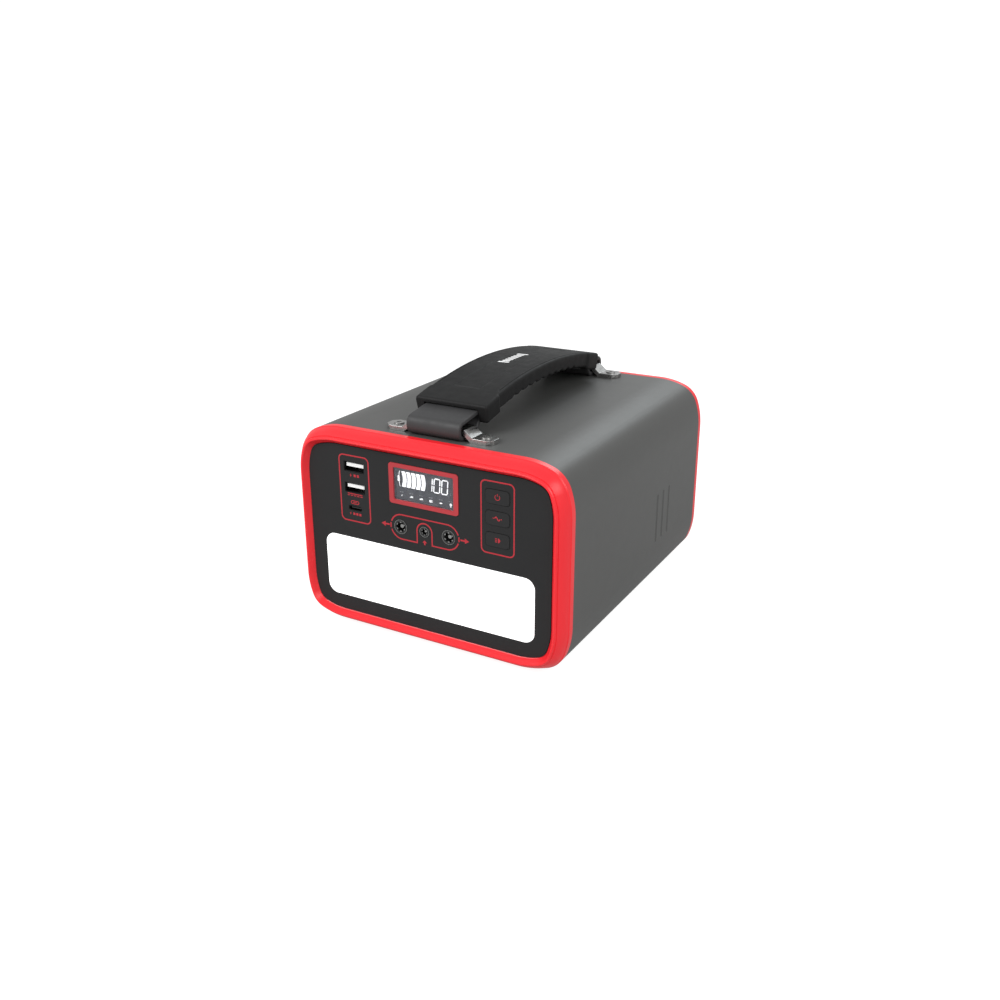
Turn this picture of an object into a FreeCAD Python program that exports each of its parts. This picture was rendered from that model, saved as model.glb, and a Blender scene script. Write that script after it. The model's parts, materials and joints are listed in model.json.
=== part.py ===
"""Portable power station: aluminium sleeve, two end bezels, front and rear panels, strap handle,
front lamp, display, sockets, push buttons, battery pack, inverter and fan.

Row frame: millimetres, +Z up, the front panel faces -Y, origin at the bottom centre of the object.
"""
import FreeCAD, Part
import math
import os
import Sketcher

Vector = FreeCAD.Vector

DIMENSIONS = {
    # case
    "case_width": 166.7, "case_height": 115.0, "sleeve_length": 178.8, "sleeve_wall": 2.0,
    "corner_side_radius": 45.0, "corner_middle_radius": 16.0, "corner_angle": 20.0,
    "foot_height": 1.5, "foot_radius": 6.0, "foot_across": 94.0, "foot_along": 140.0,
    # flutes pressed into the sleeve's sides, and air slots in its underside
    "flute_width": 2.8, "flute_height": 30.6, "flute_pitch": 9.1, "flute_y": 32.7, "flute_z": 48.0,
    "flute_depth": 0.5, "flute_radius": 1.26, "air_slot_width": 2.8, "air_slot_length": 30.0,
    "air_slot_pitch": 8.0, "air_slot_y": -50.0, "air_slot_radius": 1.26,
    # bezels
    "bezel_depth": 11.5, "bezel_band": 3.7, "bezel_bevel": 0.5, "bezel_bevel_rise": 0.6,
    "bezel_roll_radius": 13.7, "bezel_crest": 5.3, "bezel_face_width": 8.1, "panel_setback": 8.4,
    "panel_thickness": 3.0, "panel_gap": 0.25, "fit_gap": 0.2, "flange_thickness": 2.5,
    "flange_reach": 12.3, "spigot_length": 8.0, "spigot_gap": 0.2, "spigot_wall": 2.0,
    # case screws and the bosses that take them
    "boss_x": 72.0, "boss_z": 30.0, "boss_radius": 3.5, "boss_bore": 1.5, "boss_setback": 9.0,
    "lug_radius": 4.5, "screw_hole": 1.7, "screw_radius": 1.45, "screw_head_radius": 2.8,
    "screw_grip": 9.0, "screw_seat_gap": 0.1,
    # display
    "display_z": 90.9, "display_frame_width": 42.7, "display_frame_height": 22.6,
    "display_frame_radius": 1.7, "display_window_width": 37.0, "display_window_height": 18.0,
    "display_window_radius": 0.8, "display_frame_proud": 0.4, "lens_setback": 0.3,
    "lens_thickness": 0.8, "lens_gap": 0.1, "module_depth": 4.5,
    # lamp
    "lamp_width": 131.4, "lamp_height": 36.4, "lamp_radius": 6.0, "lamp_z": 35.5, "lamp_proud": 0.2,
    "lamp_lip": 1.5, "lamp_lip_depth": 1.2, "lamp_depth": 9.0, "tray_wall": 1.5,
    "lamp_board_thickness": 1.2, "lamp_board_gap": 1.5, "led_width": 3.5, "led_height": 2.8,
    "led_thickness": 0.8,
    # USB sockets
    "usb_a_x": -44.3, "usb_a_upper_z": 95.1, "usb_a_lower_z": 83.1, "usb_a_width": 13.1,
    "usb_a_height": 5.7, "usb_a_radius": 0.6, "usb_a_depth": 14.0, "usb_a_tongue_width": 11.1,
    "usb_a_tongue_height": 1.9, "usb_a_tongue_lift": 0.75, "usb_c_x": -44.6, "usb_c_z": 71.4,
    "usb_c_width": 8.8, "usb_c_height": 2.8, "usb_c_radius": 1.3, "usb_c_depth": 10.0,
    "usb_c_tongue_width": 6.6, "usb_c_tongue_height": 0.7, "usb_shell_wall": 0.3,
    "usb_block_gap": 0.05, "usb_block_depth": 3.0, "usb_tongue_setback": 0.8, "port_recess": 0.4,
    # DC sockets
    "dc_out_x": 15.0, "dc_z": 66.6, "dc_out_radius": 4.0, "dc_out_bore": 2.85, "dc_out_pin": 1.05,
    "dc_in_radius": 2.9, "dc_in_bore": 1.9, "dc_in_pin": 0.65, "dc_depth": 11.0, "dc_proud": 0.15,
    "dc_floor": 2.0, "dc_pin_setback": 1.2,
    # push buttons
    "button_x": 44.2, "power_button_z": 94.3, "ac_button_z": 82.8, "lamp_button_z": 71.0,
    "button_width": 13.9, "button_height": 7.6, "button_radius": 2.0, "button_gap": 0.25,
    "button_proud": 0.2, "button_travel": 0.7, "button_flange": 1.0, "button_flange_reach": 0.9,
    "button_flange_gap": 0.1, "stem_radius": 1.7, "plunger_radius": 1.4, "plunger_length": 2.0,
    "plunger_out": 1.6, "switch_size": 6.0, "switch_depth": 3.6, "switch_floor_gap": 0.8,
    # control board behind the front panel
    "board_y": 15.0, "board_thickness": 1.6, "board_radius": 2.0, "board_width": 130.0,
    "board_height": 40.0, "board_z": 82.0, "board_post_x": 60.0, "board_post_z": 16.0,
    "board_post_radius": 3.0, "board_post_root": 3.0, "board_screw_length": 6.0,
    "board_screw_head": 1.8,
    # handle brackets and their screws
    "bracket_y": 19.1, "bracket_depth": 11.0, "bracket_thickness": 2.5, "bracket_half": 33.0,
    "bracket_rise": 3.8, "bracket_bend_in": 17.0, "bracket_bend_out": 21.4, "bracket_screw_x": 26.9,
    "bracket_corner": 3.0, "bracket_screw_head": 0.6, "cross_length": 3.2, "cross_width": 0.7,
    "cross_floor": 0.2, "bracket_screw_length": 8.0,
    # strap: its loop's outline as distances from the bracket's middle and above the case
    "strap_width": 32.6, "strap_thickness": 2.4, "strap_loop_radius": 4.9, "strap_gap": 0.3,
    "loop_setback": 0.4, "loop_foot_end": 7.4, "neck_start": 11.0, "neck_top": 12.8,
    "neck_end": 15.5, "neck_bottom": 9.9, "strap_end_bottom": 10.4, "strap_end_top": 13.3,
    "loop_hole_end": 6.4, "loop_hole_tip": 12.2, "loop_hole_tip_height": 9.8, "loop_hole_top": 10.1,
    # grip
    "grip_width": 44.0, "grip_half_length": 70.5, "grip_crest": 24.2, "grip_end_top": 16.0,
    "grip_end_bottom": 6.4, "grip_end_slope": 3.0, "grip_crest_bottom": 15.4,
    "grip_mouth_width": 33.8, "grip_mouth_top": 13.8, "grip_mouth_depth": 16.0,
    # battery pack
    "cell_radius": 9.2, "cell_length": 65.0, "cell_pitch": 19.6, "pack_y": -25.5, "pack_z": 44.2,
    "holder_thickness": 6.0, "holder_width": 123.0, "holder_height": 84.0, "holder_radius": 5.0,
    "cell_socket": 2.0, "cell_gap": 0.1, "cell_rim": 3.0, "tab_width": 8.0, "tab_thickness": 0.2,
    "tab_end_gap": 4.0, "bms_width": 100.0, "bms_overhang": 2.0, "bms_radius": 3.0,
    "lead_spread": 2.5, "lead_radius": 1.6, "lead_bend": 6.0, "lead_lift": 1.7, "lead_run": 18.0,
    "lead_end_gap": 1.8,
    # inverter
    "inverter_y": 46.0, "inverter_width": 126.0, "inverter_length": 60.0, "inverter_clearance": 8.5,
    "post_radius": 3.0, "post_inset": 5.0, "transformer_x": -32.0, "transformer_y": 50.0,
    "core_width": 38.0, "core_length": 18.0, "core_height": 30.0, "winding_width": 28.0,
    "winding_length": 32.0, "winding_radius": 8.0, "winding_start": 5.0, "winding_height": 20.0,
    "heatsink_x": 32.0, "heatsink_y": 48.0, "heatsink_width": 52.0, "heatsink_length": 50.0,
    "heatsink_base": 4.0, "fin_height": 24.0, "fin_thickness": 1.6, "fin_pitch": 6.0,
    # fan and its grille
    "fan_x": -34.0, "fan_z": 60.5, "fan_size": 60.0, "fan_corner": 4.0, "fan_depth": 15.0,
    "fan_bore": 28.0, "fan_arm_width": 4.0, "fan_arm_depth": 2.0, "fan_hub_radius": 11.5,
    "fan_shaft_radius": 1.5, "fan_shaft_length": 9.0, "fan_running_gap": 0.05, "rotor_start": 2.5,
    "rotor_depth": 10.0, "rotor_bore_depth": 9.5, "fan_tip_gap": 0.5, "fan_blades": 7.0,
    "blade_front": 3.0, "blade_rear": 10.4, "blade_chord": 1.6, "blade_half_height": 4.0,
    "grille_slot_width": 2.6, "grille_slot_radius": 1.2, "grille_margin": 4.0,
    # mains socket
    "ac_x": 35.0, "ac_z": 60.5, "ac_size": 40.0, "ac_corner": 4.0, "ac_depth": 24.0, "ac_proud": 1.0,
    "blade_slot_x": 6.35, "blade_slot_z": 3.5, "blade_slot_width": 2.2, "blade_slot_height": 8.0,
    "earth_z": -8.0, "earth_radius": 2.5, "contact_gap": 0.2, "ac_slot_depth": 17.0,
    "contact_length": 7.0,
}

FRONT_FACE = "(-dim.sleeve_length / 2 - dim.panel_setback)"
REAR_FACE = "(dim.sleeve_length / 2 + dim.panel_setback)"
CASE_CENTRE = "(dim.foot_height + dim.case_height / 2)"
CASE_TOP = "(dim.foot_height + dim.case_height)"
FLOOR_INSIDE = "(dim.foot_height + dim.sleeve_wall)"
BRACKET_Y = "(-%s - dim.bracket_y)" % FRONT_FACE
HALF_TURN = 180
SIDES = (-1, 1)
CELL_ROWS, CELL_COLUMNS = 4, 6
FLUTE_STEPS = (-1, 0, 1)
AIR_SLOT_STEPS = range(-3, 4)
LED_COLUMNS, LED_ROWS = range(-5, 6), range(-1, 2)
FIN_STEPS = range(-4, 5)
GRILLE_STEPS = range(-5, 6)
LEAST_CUT = 0.01             # cubic millimetres that a pocket has to take away

doc = FreeCAD.newDocument("power_station")
sheet = doc.addObject("Spreadsheet::Sheet", "dim")
for row, (alias, size) in enumerate(DIMENSIONS.items(), start=1):
    sheet.set("A%d" % row, alias)
    sheet.set("B%d" % row, str(size))
    sheet.setAlias("B%d" % row, alias)
doc.recompute()

parts = []


# ---------------------------------------------------------------- helpers

def value(expression):
    """The number that an expression has now."""
    return float(sheet.evalExpression(str(expression)))


def new_part(label, x="0", y="0", z="0", turn=0):
    """A body of its own, placed at x, y, z and turned about the vertical."""
    body = doc.addObject("PartDesign::Body", label)
    body.Label = label
    body.AllowCompound = True
    body.Placement = FreeCAD.Placement(Vector(), FreeCAD.Rotation(Vector(0, 0, 1), turn))
    for axis, place in zip("xyz", (x, y, z)):
        body.setExpression("Placement.Base." + axis, str(place))
    parts.append(body)
    return body


def above_case_bottom(height):
    """Row height of a point given above the sleeve's underside."""
    return "(dim.foot_height + %s)" % height


def behind_front(depth):
    """Row Y of a point given behind the front panel's face."""
    return "(%s + %s)" % (FRONT_FACE, depth)


def new_sketch(body, plane, start="0"):
    """A sketch on one of the body's origin planes, moved by start along that plane's row axis."""
    sketch = body.newObject("Sketcher::SketchObject", body.Name + "_outline")
    origin_plane = next(item for item in body.Origin.OriginFeatures if item.Role == plane)
    sketch.AttachmentSupport = [(origin_plane, "")]
    sketch.MapMode = "FlatFace"
    sign = "-" if plane == "XZ_Plane" else ""
    sketch.setExpression("AttachmentOffset.Base.z", "%s(%s)" % (sign, start))
    return sketch


def layer(body, plane, start, depth, draw, cut=False):
    """Adds or cuts one layer, from start and depth thick, towards plus along the plane's row axis."""
    sketch = new_sketch(body, plane, start)
    draw(sketch)
    kind = "Pocket" if cut else "Pad"
    feature = body.newObject("PartDesign::" + kind, "%s_%s" % (body.Name, kind.lower()))
    feature.Profile = sketch
    feature.setExpression("Length", str(depth))
    feature.Reversed = (plane == "XZ_Plane") != cut
    body.Tip = feature
    return feature


def cut_layer(body, plane, start, depth, draw):
    return layer(body, plane, start, depth, draw, cut=True)


def constrain(sketch, kind, items, expression):
    index = sketch.addConstraint(Sketcher.Constraint(kind, *items, value(expression)))
    sketch.setExpression("Constraints[%d]" % index, str(expression))


def path(sketch, points, closed=True):
    """Straight and round segments through points, each (x, y) or (x, y, radius[, -1]).

    A radius makes the segment that leaves the point an arc, bending left, or right with -1.
    """
    ends = []
    count = len(points) if closed else len(points) - 1
    for index in range(count):
        here = points[index]
        start = Vector(value(here[0]), value(here[1]), 0)
        following = points[(index + 1) % len(points)]
        end = Vector(value(following[0]), value(following[1]), 0)
        if len(here) == 2:
            segment = sketch.addGeometry(Part.LineSegment(start, end))
            ends.append((segment, 1, 2))
            continue
        left = len(here) < 4
        radius = value(here[2])
        chord = end - start
        side = Vector(-chord.y, chord.x, 0).normalize() * (1 if left else -1)
        middle = (start + end) * 0.5
        centre = middle + side * math.sqrt(radius ** 2 - chord.Length ** 2 / 4)
        first, last = (start, end) if left else (end, start)
        angles = [math.atan2(point.y - centre.y, point.x - centre.x) for point in (first, last)]
        circle_shape = Part.Circle(centre, Vector(0, 0, 1), radius)
        segment = sketch.addGeometry(Part.ArcOfCircle(circle_shape, angles[0], angles[1]))
        constrain(sketch, "Radius", (segment,), here[2])
        ends.append((segment, 1, 2) if left else (segment, 2, 1))
    for index, (segment, start_end, far_end) in enumerate(ends):
        constrain(sketch, "DistanceX", (-1, 1, segment, start_end), points[index][0])
        constrain(sketch, "DistanceY", (-1, 1, segment, start_end), points[index][1])
        if closed or index + 1 < count:
            joined = ends[(index + 1) % count]
            sketch.addConstraint(
                Sketcher.Constraint("Coincident", segment, far_end, joined[0], joined[1]))
    if not closed:
        constrain(sketch, "DistanceX", (-1, 1, ends[-1][0], ends[-1][2]), points[-1][0])
        constrain(sketch, "DistanceY", (-1, 1, ends[-1][0], ends[-1][2]), points[-1][1])


def circle(sketch, radius, x="0", y="0"):
    centre = Vector(value(x), value(y), 0)
    index = sketch.addGeometry(Part.Circle(centre, Vector(0, 0, 1), value(radius)))
    constrain(sketch, "Radius", (index,), radius)
    constrain(sketch, "DistanceX", (-1, 1, index, 3), x)
    constrain(sketch, "DistanceY", (-1, 1, index, 3), y)


def rectangle(sketch, width, height, x="0", y="0"):
    right, left = "%s + (%s) / 2" % (x, width), "%s - (%s) / 2" % (x, width)
    top, bottom = "%s + (%s) / 2" % (y, height), "%s - (%s) / 2" % (y, height)
    path(sketch, [(left, bottom), (right, bottom), (right, top), (left, top)])


def rounded(sketch, width, height, radius, x="0", y="0"):
    """A rectangle with round corners, centred on x, y."""
    points = []
    for across, up, turned in ((1, -1, False), (1, 1, True), (-1, 1, False), (-1, -1, True)):
        side = "%s + %d * (%s) / 2" % (x, across, width)
        inner_side = "%s + %d * ((%s) / 2 - (%s))" % (x, across, width, radius)
        level = "%s + %d * (%s) / 2" % (y, up, height)
        inner_level = "%s + %d * ((%s) / 2 - (%s))" % (y, up, height, radius)
        corner = [(inner_side, level), (side, inner_level)]
        if turned:
            corner.reverse()
        points.append(corner[0] + (radius,))
        points.append(corner[1])
    path(sketch, points)


def case_outline(sketch, inset="0"):
    """The case's outline, moved in by inset: flat sides, each corner three tangent arcs."""
    side_radius = "(dim.corner_side_radius - %s)" % inset
    middle_radius = "(dim.corner_middle_radius - %s)" % inset
    spread = "(dim.corner_side_radius - dim.corner_middle_radius)"
    reach = "(%s - %s * cos(dim.corner_angle))" % (side_radius, spread)
    half_width = "(dim.case_width / 2 - %s)" % inset
    half_height = "(dim.case_height / 2 - %s)" % inset
    centre_x = "(%s - %s)" % (half_width, reach)
    centre_y = "(%s - %s)" % (half_height, reach)
    tangent = "%s * sin(dim.corner_angle)" % spread
    points = []
    for across, up, turned in ((1, 1, False), (-1, 1, True), (-1, -1, False), (1, -1, True)):
        corner = [
            (half_width, "(%s - %s)" % (centre_y, tangent)),
            ("(%s + %s * cos(dim.corner_angle))" % (centre_x, middle_radius),
             "(%s + %s * sin(dim.corner_angle))" % (centre_y, middle_radius)),
            ("(%s + %s * sin(dim.corner_angle))" % (centre_x, middle_radius),
             "(%s + %s * cos(dim.corner_angle))" % (centre_y, middle_radius)),
            ("(%s - %s)" % (centre_x, tangent), half_height)]
        if turned:
            corner.reverse()
        placed = [("%d * %s" % (across, px), "%d * %s" % (up, py)) for px, py in corner]
        points.append(placed[0] + (side_radius,))
        points.append(placed[1] + (middle_radius,))
        points.append(placed[2] + (side_radius,))
        points.append(placed[3])
    path(sketch, points)


def four(draw, x, y):
    """Draws the same outline at the four corners of a rectangle."""
    for across in SIDES:
        for up in SIDES:
            draw("%d * %s" % (across, x), "%d * %s" % (up, y))


# ---------------------------------------------------------------- case

def make_sleeve():
    """Extruded sleeve with screw bosses on webs, side flutes, air slots and the handle's screw holes."""
    sleeve = new_part("body_sleeve", z=CASE_CENTRE)
    start = "-dim.sleeve_length / 2"

    def wall(sketch):
        case_outline(sketch)
        case_outline(sketch, "dim.sleeve_wall")

    layer(sleeve, "XZ_Plane", start, "dim.sleeve_length", wall)
    boss_start = "-dim.sleeve_length / 2 + dim.boss_setback"
    boss_length = "dim.sleeve_length - 2 * dim.boss_setback"
    web_reach = "(dim.case_width / 2 - dim.sleeve_wall / 2 - dim.boss_x)"
    layer(sleeve, "XZ_Plane", boss_start, boss_length,
          lambda sketch: four(lambda x, y: circle(sketch, "dim.boss_radius", x, y),
                              "dim.boss_x", "dim.boss_z"))
    layer(sleeve, "XZ_Plane", boss_start, boss_length,
          lambda sketch: four(lambda x, y: rectangle(sketch, web_reach, "dim.sleeve_wall", x, y),
                              "(dim.boss_x + %s / 2)" % web_reach, "dim.boss_z"))
    cut_layer(sleeve, "XZ_Plane", boss_start, boss_length,
              lambda sketch: four(lambda x, y: circle(sketch, "dim.boss_bore", x, y),
                                  "dim.boss_x", "dim.boss_z"))

    def flutes(sketch):
        for step in FLUTE_STEPS:
            rounded(sketch, "dim.flute_width", "dim.flute_height", "dim.flute_radius",
                    "dim.flute_y + %d * dim.flute_pitch" % step,
                    "dim.flute_z - dim.case_height / 2")

    for start in ("-dim.case_width / 2", "dim.case_width / 2 - dim.flute_depth"):
        cut_layer(sleeve, "YZ_Plane", start, "dim.flute_depth", flutes)

    def air_slots(sketch):
        for step in AIR_SLOT_STEPS:
            rounded(sketch, "dim.air_slot_width", "dim.air_slot_length", "dim.air_slot_radius",
                    "%d * dim.air_slot_pitch" % step, "dim.air_slot_y")

    cut_layer(sleeve, "XY_Plane", "-dim.case_height / 2", "dim.sleeve_wall", air_slots)
    cut_layer(sleeve, "XY_Plane", "0", "dim.case_height",
              lambda sketch: four(lambda x, y: circle(sketch, "dim.boss_bore", x, y),
                                  "dim.bracket_screw_x", BRACKET_Y))


def make_bezel(label, side, countersunk):
    """Red end frame: its section runs once round the case outline, and four lugs take the screws."""
    turn = 0 if side < 0 else HALF_TURN
    bezel = new_part(label, y="%d * dim.sleeve_length / 2" % side, z=CASE_CENTRE, turn=turn)
    spine = new_sketch(bezel, "XZ_Plane")
    case_outline(spine)
    start_height = ("dim.case_height / 2 - dim.corner_side_radius"
                    " + (dim.corner_side_radius - dim.corner_middle_radius)"
                    " * (cos(dim.corner_angle) - sin(dim.corner_angle))")
    section = new_sketch(bezel, "XY_Plane", start_height)

    def at(inset, outwards):
        return ("dim.case_width / 2 - (%s)" % inset, "-(%s)" % outwards)

    seat = "dim.panel_setback - dim.panel_thickness"
    flange_back = seat + " - dim.flange_thickness"
    spigot_outer = "dim.spigot_gap + dim.sleeve_wall"
    spigot_inner = spigot_outer + " + dim.spigot_wall"
    path(section, [
        at("0", "0"),
        at("0", "dim.bezel_band"),
        at("dim.bezel_bevel", "dim.bezel_band + dim.bezel_bevel_rise") + ("dim.bezel_roll_radius", -1),
        at("dim.bezel_crest - 1.5", "dim.bezel_depth - 1.3"),
        at("dim.bezel_crest - 1.15", "dim.bezel_depth - 1.35"),
        at("dim.bezel_crest - 1", "dim.bezel_depth - 0.85"),
        at("dim.bezel_crest - 0.5", "dim.bezel_depth - 0.2"),
        at("dim.bezel_crest", "dim.bezel_depth"),
        at("dim.bezel_crest + 0.5", "dim.bezel_depth - 0.1"),
        at("dim.bezel_face_width - 0.4", "dim.panel_setback - 0.1"),
        at("dim.bezel_face_width", "dim.panel_setback - 0.4"),
        at("dim.bezel_face_width", seat),
        at("dim.flange_reach", seat),
        at("dim.flange_reach", flange_back),
        at(spigot_inner, flange_back),
        at(spigot_inner, "-dim.spigot_length"),
        at(spigot_outer, "-dim.spigot_length"),
        at(spigot_outer, "0"),
    ])
    frame = bezel.newObject("PartDesign::AdditivePipe", label + "_frame")
    frame.Profile = section
    frame.Spine = (spine, [])
    frame.Mode = "Binormal"
    frame.Binormal = Vector(0, 1, 0)
    bezel.Tip = frame
    lug_start = "-(%s)" % seat
    lug_length = "%s + dim.boss_setback" % seat
    layer(bezel, "XZ_Plane", lug_start, lug_length,
          lambda sketch: four(lambda x, y: circle(sketch, "dim.lug_radius", x, y),
                              "dim.boss_x", "dim.boss_z"))
    cut_layer(bezel, "XZ_Plane", lug_start, lug_length,
              lambda sketch: four(lambda x, y: circle(sketch, "dim.screw_hole", x, y),
                                  "dim.boss_x", "dim.boss_z"))
    if countersunk:
        cut_layer(bezel, "XZ_Plane", lug_start, "dim.screw_head_radius - dim.screw_radius",
                  lambda sketch: four(
                      lambda x, y: circle(sketch, "dim.screw_head_radius + dim.screw_seat_gap", x, y),
                      "dim.boss_x", "dim.boss_z"))


def make_feet():
    feet = new_part("rubber_feet")
    layer(feet, "XY_Plane", "0", "dim.foot_height",
          lambda sketch: four(lambda x, y: circle(sketch, "dim.foot_radius", x, y),
                              "dim.foot_across / 2", "dim.foot_along / 2"))


def make_case_screws():
    """Front screws sit sunk under the panel; rear screws have pan heads on the rear panel."""
    head = "dim.screw_head_radius - dim.screw_radius"
    lug_length = "dim.panel_setback - dim.panel_thickness + dim.boss_setback"
    front = new_part("front_bezel_screws", y=behind_front("dim.panel_thickness"), z=CASE_CENTRE)
    layer(front, "XZ_Plane", "0", head,
          lambda sketch: four(lambda x, y: circle(sketch, "dim.screw_head_radius", x, y),
                              "dim.boss_x", "dim.boss_z"))
    layer(front, "XZ_Plane", head, "%s + dim.screw_grip" % lug_length,
          lambda sketch: four(lambda x, y: circle(sketch, "dim.screw_radius", x, y),
                              "dim.boss_x", "dim.boss_z"))
    rear = new_part("rear_panel_screws", y=REAR_FACE, z=CASE_CENTRE)
    head_height = "(dim.screw_head_radius * 0.7)"
    shank = "(%s + dim.panel_thickness + dim.screw_grip)" % lug_length
    layer(rear, "XZ_Plane", "0", head_height,
          lambda sketch: four(lambda x, y: circle(sketch, "dim.screw_head_radius", x, y),
                              "dim.boss_x", "dim.boss_z"))
    layer(rear, "XZ_Plane", "-" + shank, shank,
          lambda sketch: four(lambda x, y: circle(sketch, "dim.screw_radius", x, y),
                              "dim.boss_x", "dim.boss_z"))

    def cross_recess(sketch, turned):
        size = ("dim.screw_head_radius * 1.3", "dim.screw_head_radius * 0.28")
        width, height = reversed(size) if turned else size
        four(lambda x, y: rectangle(sketch, width, height, x, y), "dim.boss_x", "dim.boss_z")

    for turned in (False, True):
        cut_layer(rear, "XZ_Plane", head_height + " / 2", head_height,
                  lambda sketch, turned=turned: cross_recess(sketch, turned))


# ---------------------------------------------------------------- front panel and its windows

BUTTONS = {"power": "dim.power_button_z", "ac": "dim.ac_button_z", "lamp": "dim.lamp_button_z"}
USB_A_PORTS = {"upper": "dim.usb_a_upper_z", "lower": "dim.usb_a_lower_z"}
DC_JACKS = {
    "dc_out_left": ("(-dim.dc_out_x)", "dim.dc_out_radius", "dim.dc_out_bore", "dim.dc_out_pin"),
    "dc_out_right": ("dim.dc_out_x", "dim.dc_out_radius", "dim.dc_out_bore", "dim.dc_out_pin"),
    "dc_in": ("0", "dim.dc_in_radius", "dim.dc_in_bore", "dim.dc_in_pin"),
}


def from_centre(height):
    """Height above the case's centre of a point given above the sleeve's underside."""
    return "(%s - dim.case_height / 2)" % height


def make_front_panel():
    """Moulded panel with an opening for each window, socket and button, and board posts behind."""
    panel = new_part("front_panel", y=FRONT_FACE, z=CASE_CENTRE)
    inset = "dim.bezel_face_width + dim.panel_gap"
    layer(panel, "XZ_Plane", "0", "dim.panel_thickness",
          lambda sketch: case_outline(sketch, "(%s)" % inset))

    def opening(draw):
        cut_layer(panel, "XZ_Plane", "0", "dim.panel_thickness", draw)

    opening(lambda sketch: rounded(sketch, "dim.display_frame_width + dim.fit_gap",
                                   "dim.display_frame_height + dim.fit_gap",
                                   "dim.display_frame_radius", "0", from_centre("dim.display_z")))
    opening(lambda sketch: rounded(sketch, "dim.lamp_width + dim.fit_gap",
                                   "dim.lamp_height + dim.fit_gap", "dim.lamp_radius", "0",
                                   from_centre("dim.lamp_z")))
    for height in USB_A_PORTS.values():
        opening(lambda sketch, z=height: rounded(sketch, "dim.usb_a_width + dim.fit_gap",
                                                 "dim.usb_a_height + dim.fit_gap",
                                                 "dim.usb_a_radius", "dim.usb_a_x",
                                                 from_centre(z)))
    opening(lambda sketch: rounded(sketch, "dim.usb_c_width + dim.fit_gap",
                                   "dim.usb_c_height + dim.fit_gap", "dim.usb_c_radius",
                                   "dim.usb_c_x", from_centre("dim.usb_c_z")))
    for jack_x, jack_radius, _, _ in DC_JACKS.values():
        opening(lambda sketch, x=jack_x, radius=jack_radius: circle(
            sketch, "%s + dim.fit_gap / 2" % radius, x, from_centre("dim.dc_z")))
    for height in BUTTONS.values():
        opening(lambda sketch, z=height: rounded(sketch, "dim.button_width + 2 * dim.button_gap",
                                                 "dim.button_height + 2 * dim.button_gap",
                                                 "dim.button_radius + dim.button_gap",
                                                 "dim.button_x", from_centre(z)))

    def posts(sketch, radius):
        for across in SIDES:
            for up in SIDES:
                circle(sketch, radius, "%d * dim.board_post_x" % across,
                       "%s + %d * dim.board_post_z" % (from_centre("dim.board_z"), up))

    post_length = "dim.board_y - dim.panel_thickness"
    layer(panel, "XZ_Plane", "dim.panel_thickness", post_length,
          lambda sketch: posts(sketch, "dim.board_post_radius"))
    cut_layer(panel, "XZ_Plane", "dim.panel_thickness + dim.board_post_root",
              "%s - dim.board_post_root" % post_length,
              lambda sketch: posts(sketch, "dim.boss_bore"))


def make_display():
    """Red frame, clear lens and the display module behind them."""
    height = above_case_bottom("dim.display_z")
    frame = new_part("display_frame", y=FRONT_FACE, z=height)

    def ring(sketch):
        rounded(sketch, "dim.display_frame_width", "dim.display_frame_height",
                "dim.display_frame_radius")
        rounded(sketch, "dim.display_window_width", "dim.display_window_height",
                "dim.display_window_radius")

    def window(sketch):
        rounded(sketch, "dim.display_window_width - dim.fit_gap",
                "dim.display_window_height - dim.fit_gap",
                "dim.display_window_radius - dim.fit_gap / 2")

    layer(frame, "XZ_Plane", "-dim.display_frame_proud",
          "dim.panel_thickness + dim.display_frame_proud", ring)
    lens = new_part("display_lens", y=FRONT_FACE, z=height)
    layer(lens, "XZ_Plane", "dim.lens_setback", "dim.lens_thickness", window)
    module = new_part("display_module", y=FRONT_FACE, z=height)
    module_front = "(dim.lens_setback + dim.lens_thickness + dim.lens_gap)"
    layer(module, "XZ_Plane", module_front, "dim.panel_thickness - %s" % module_front, window)
    layer(module, "XZ_Plane", "dim.panel_thickness", "dim.module_depth",
          lambda sketch: rectangle(sketch, "dim.display_frame_width", "dim.display_frame_height"))


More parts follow.
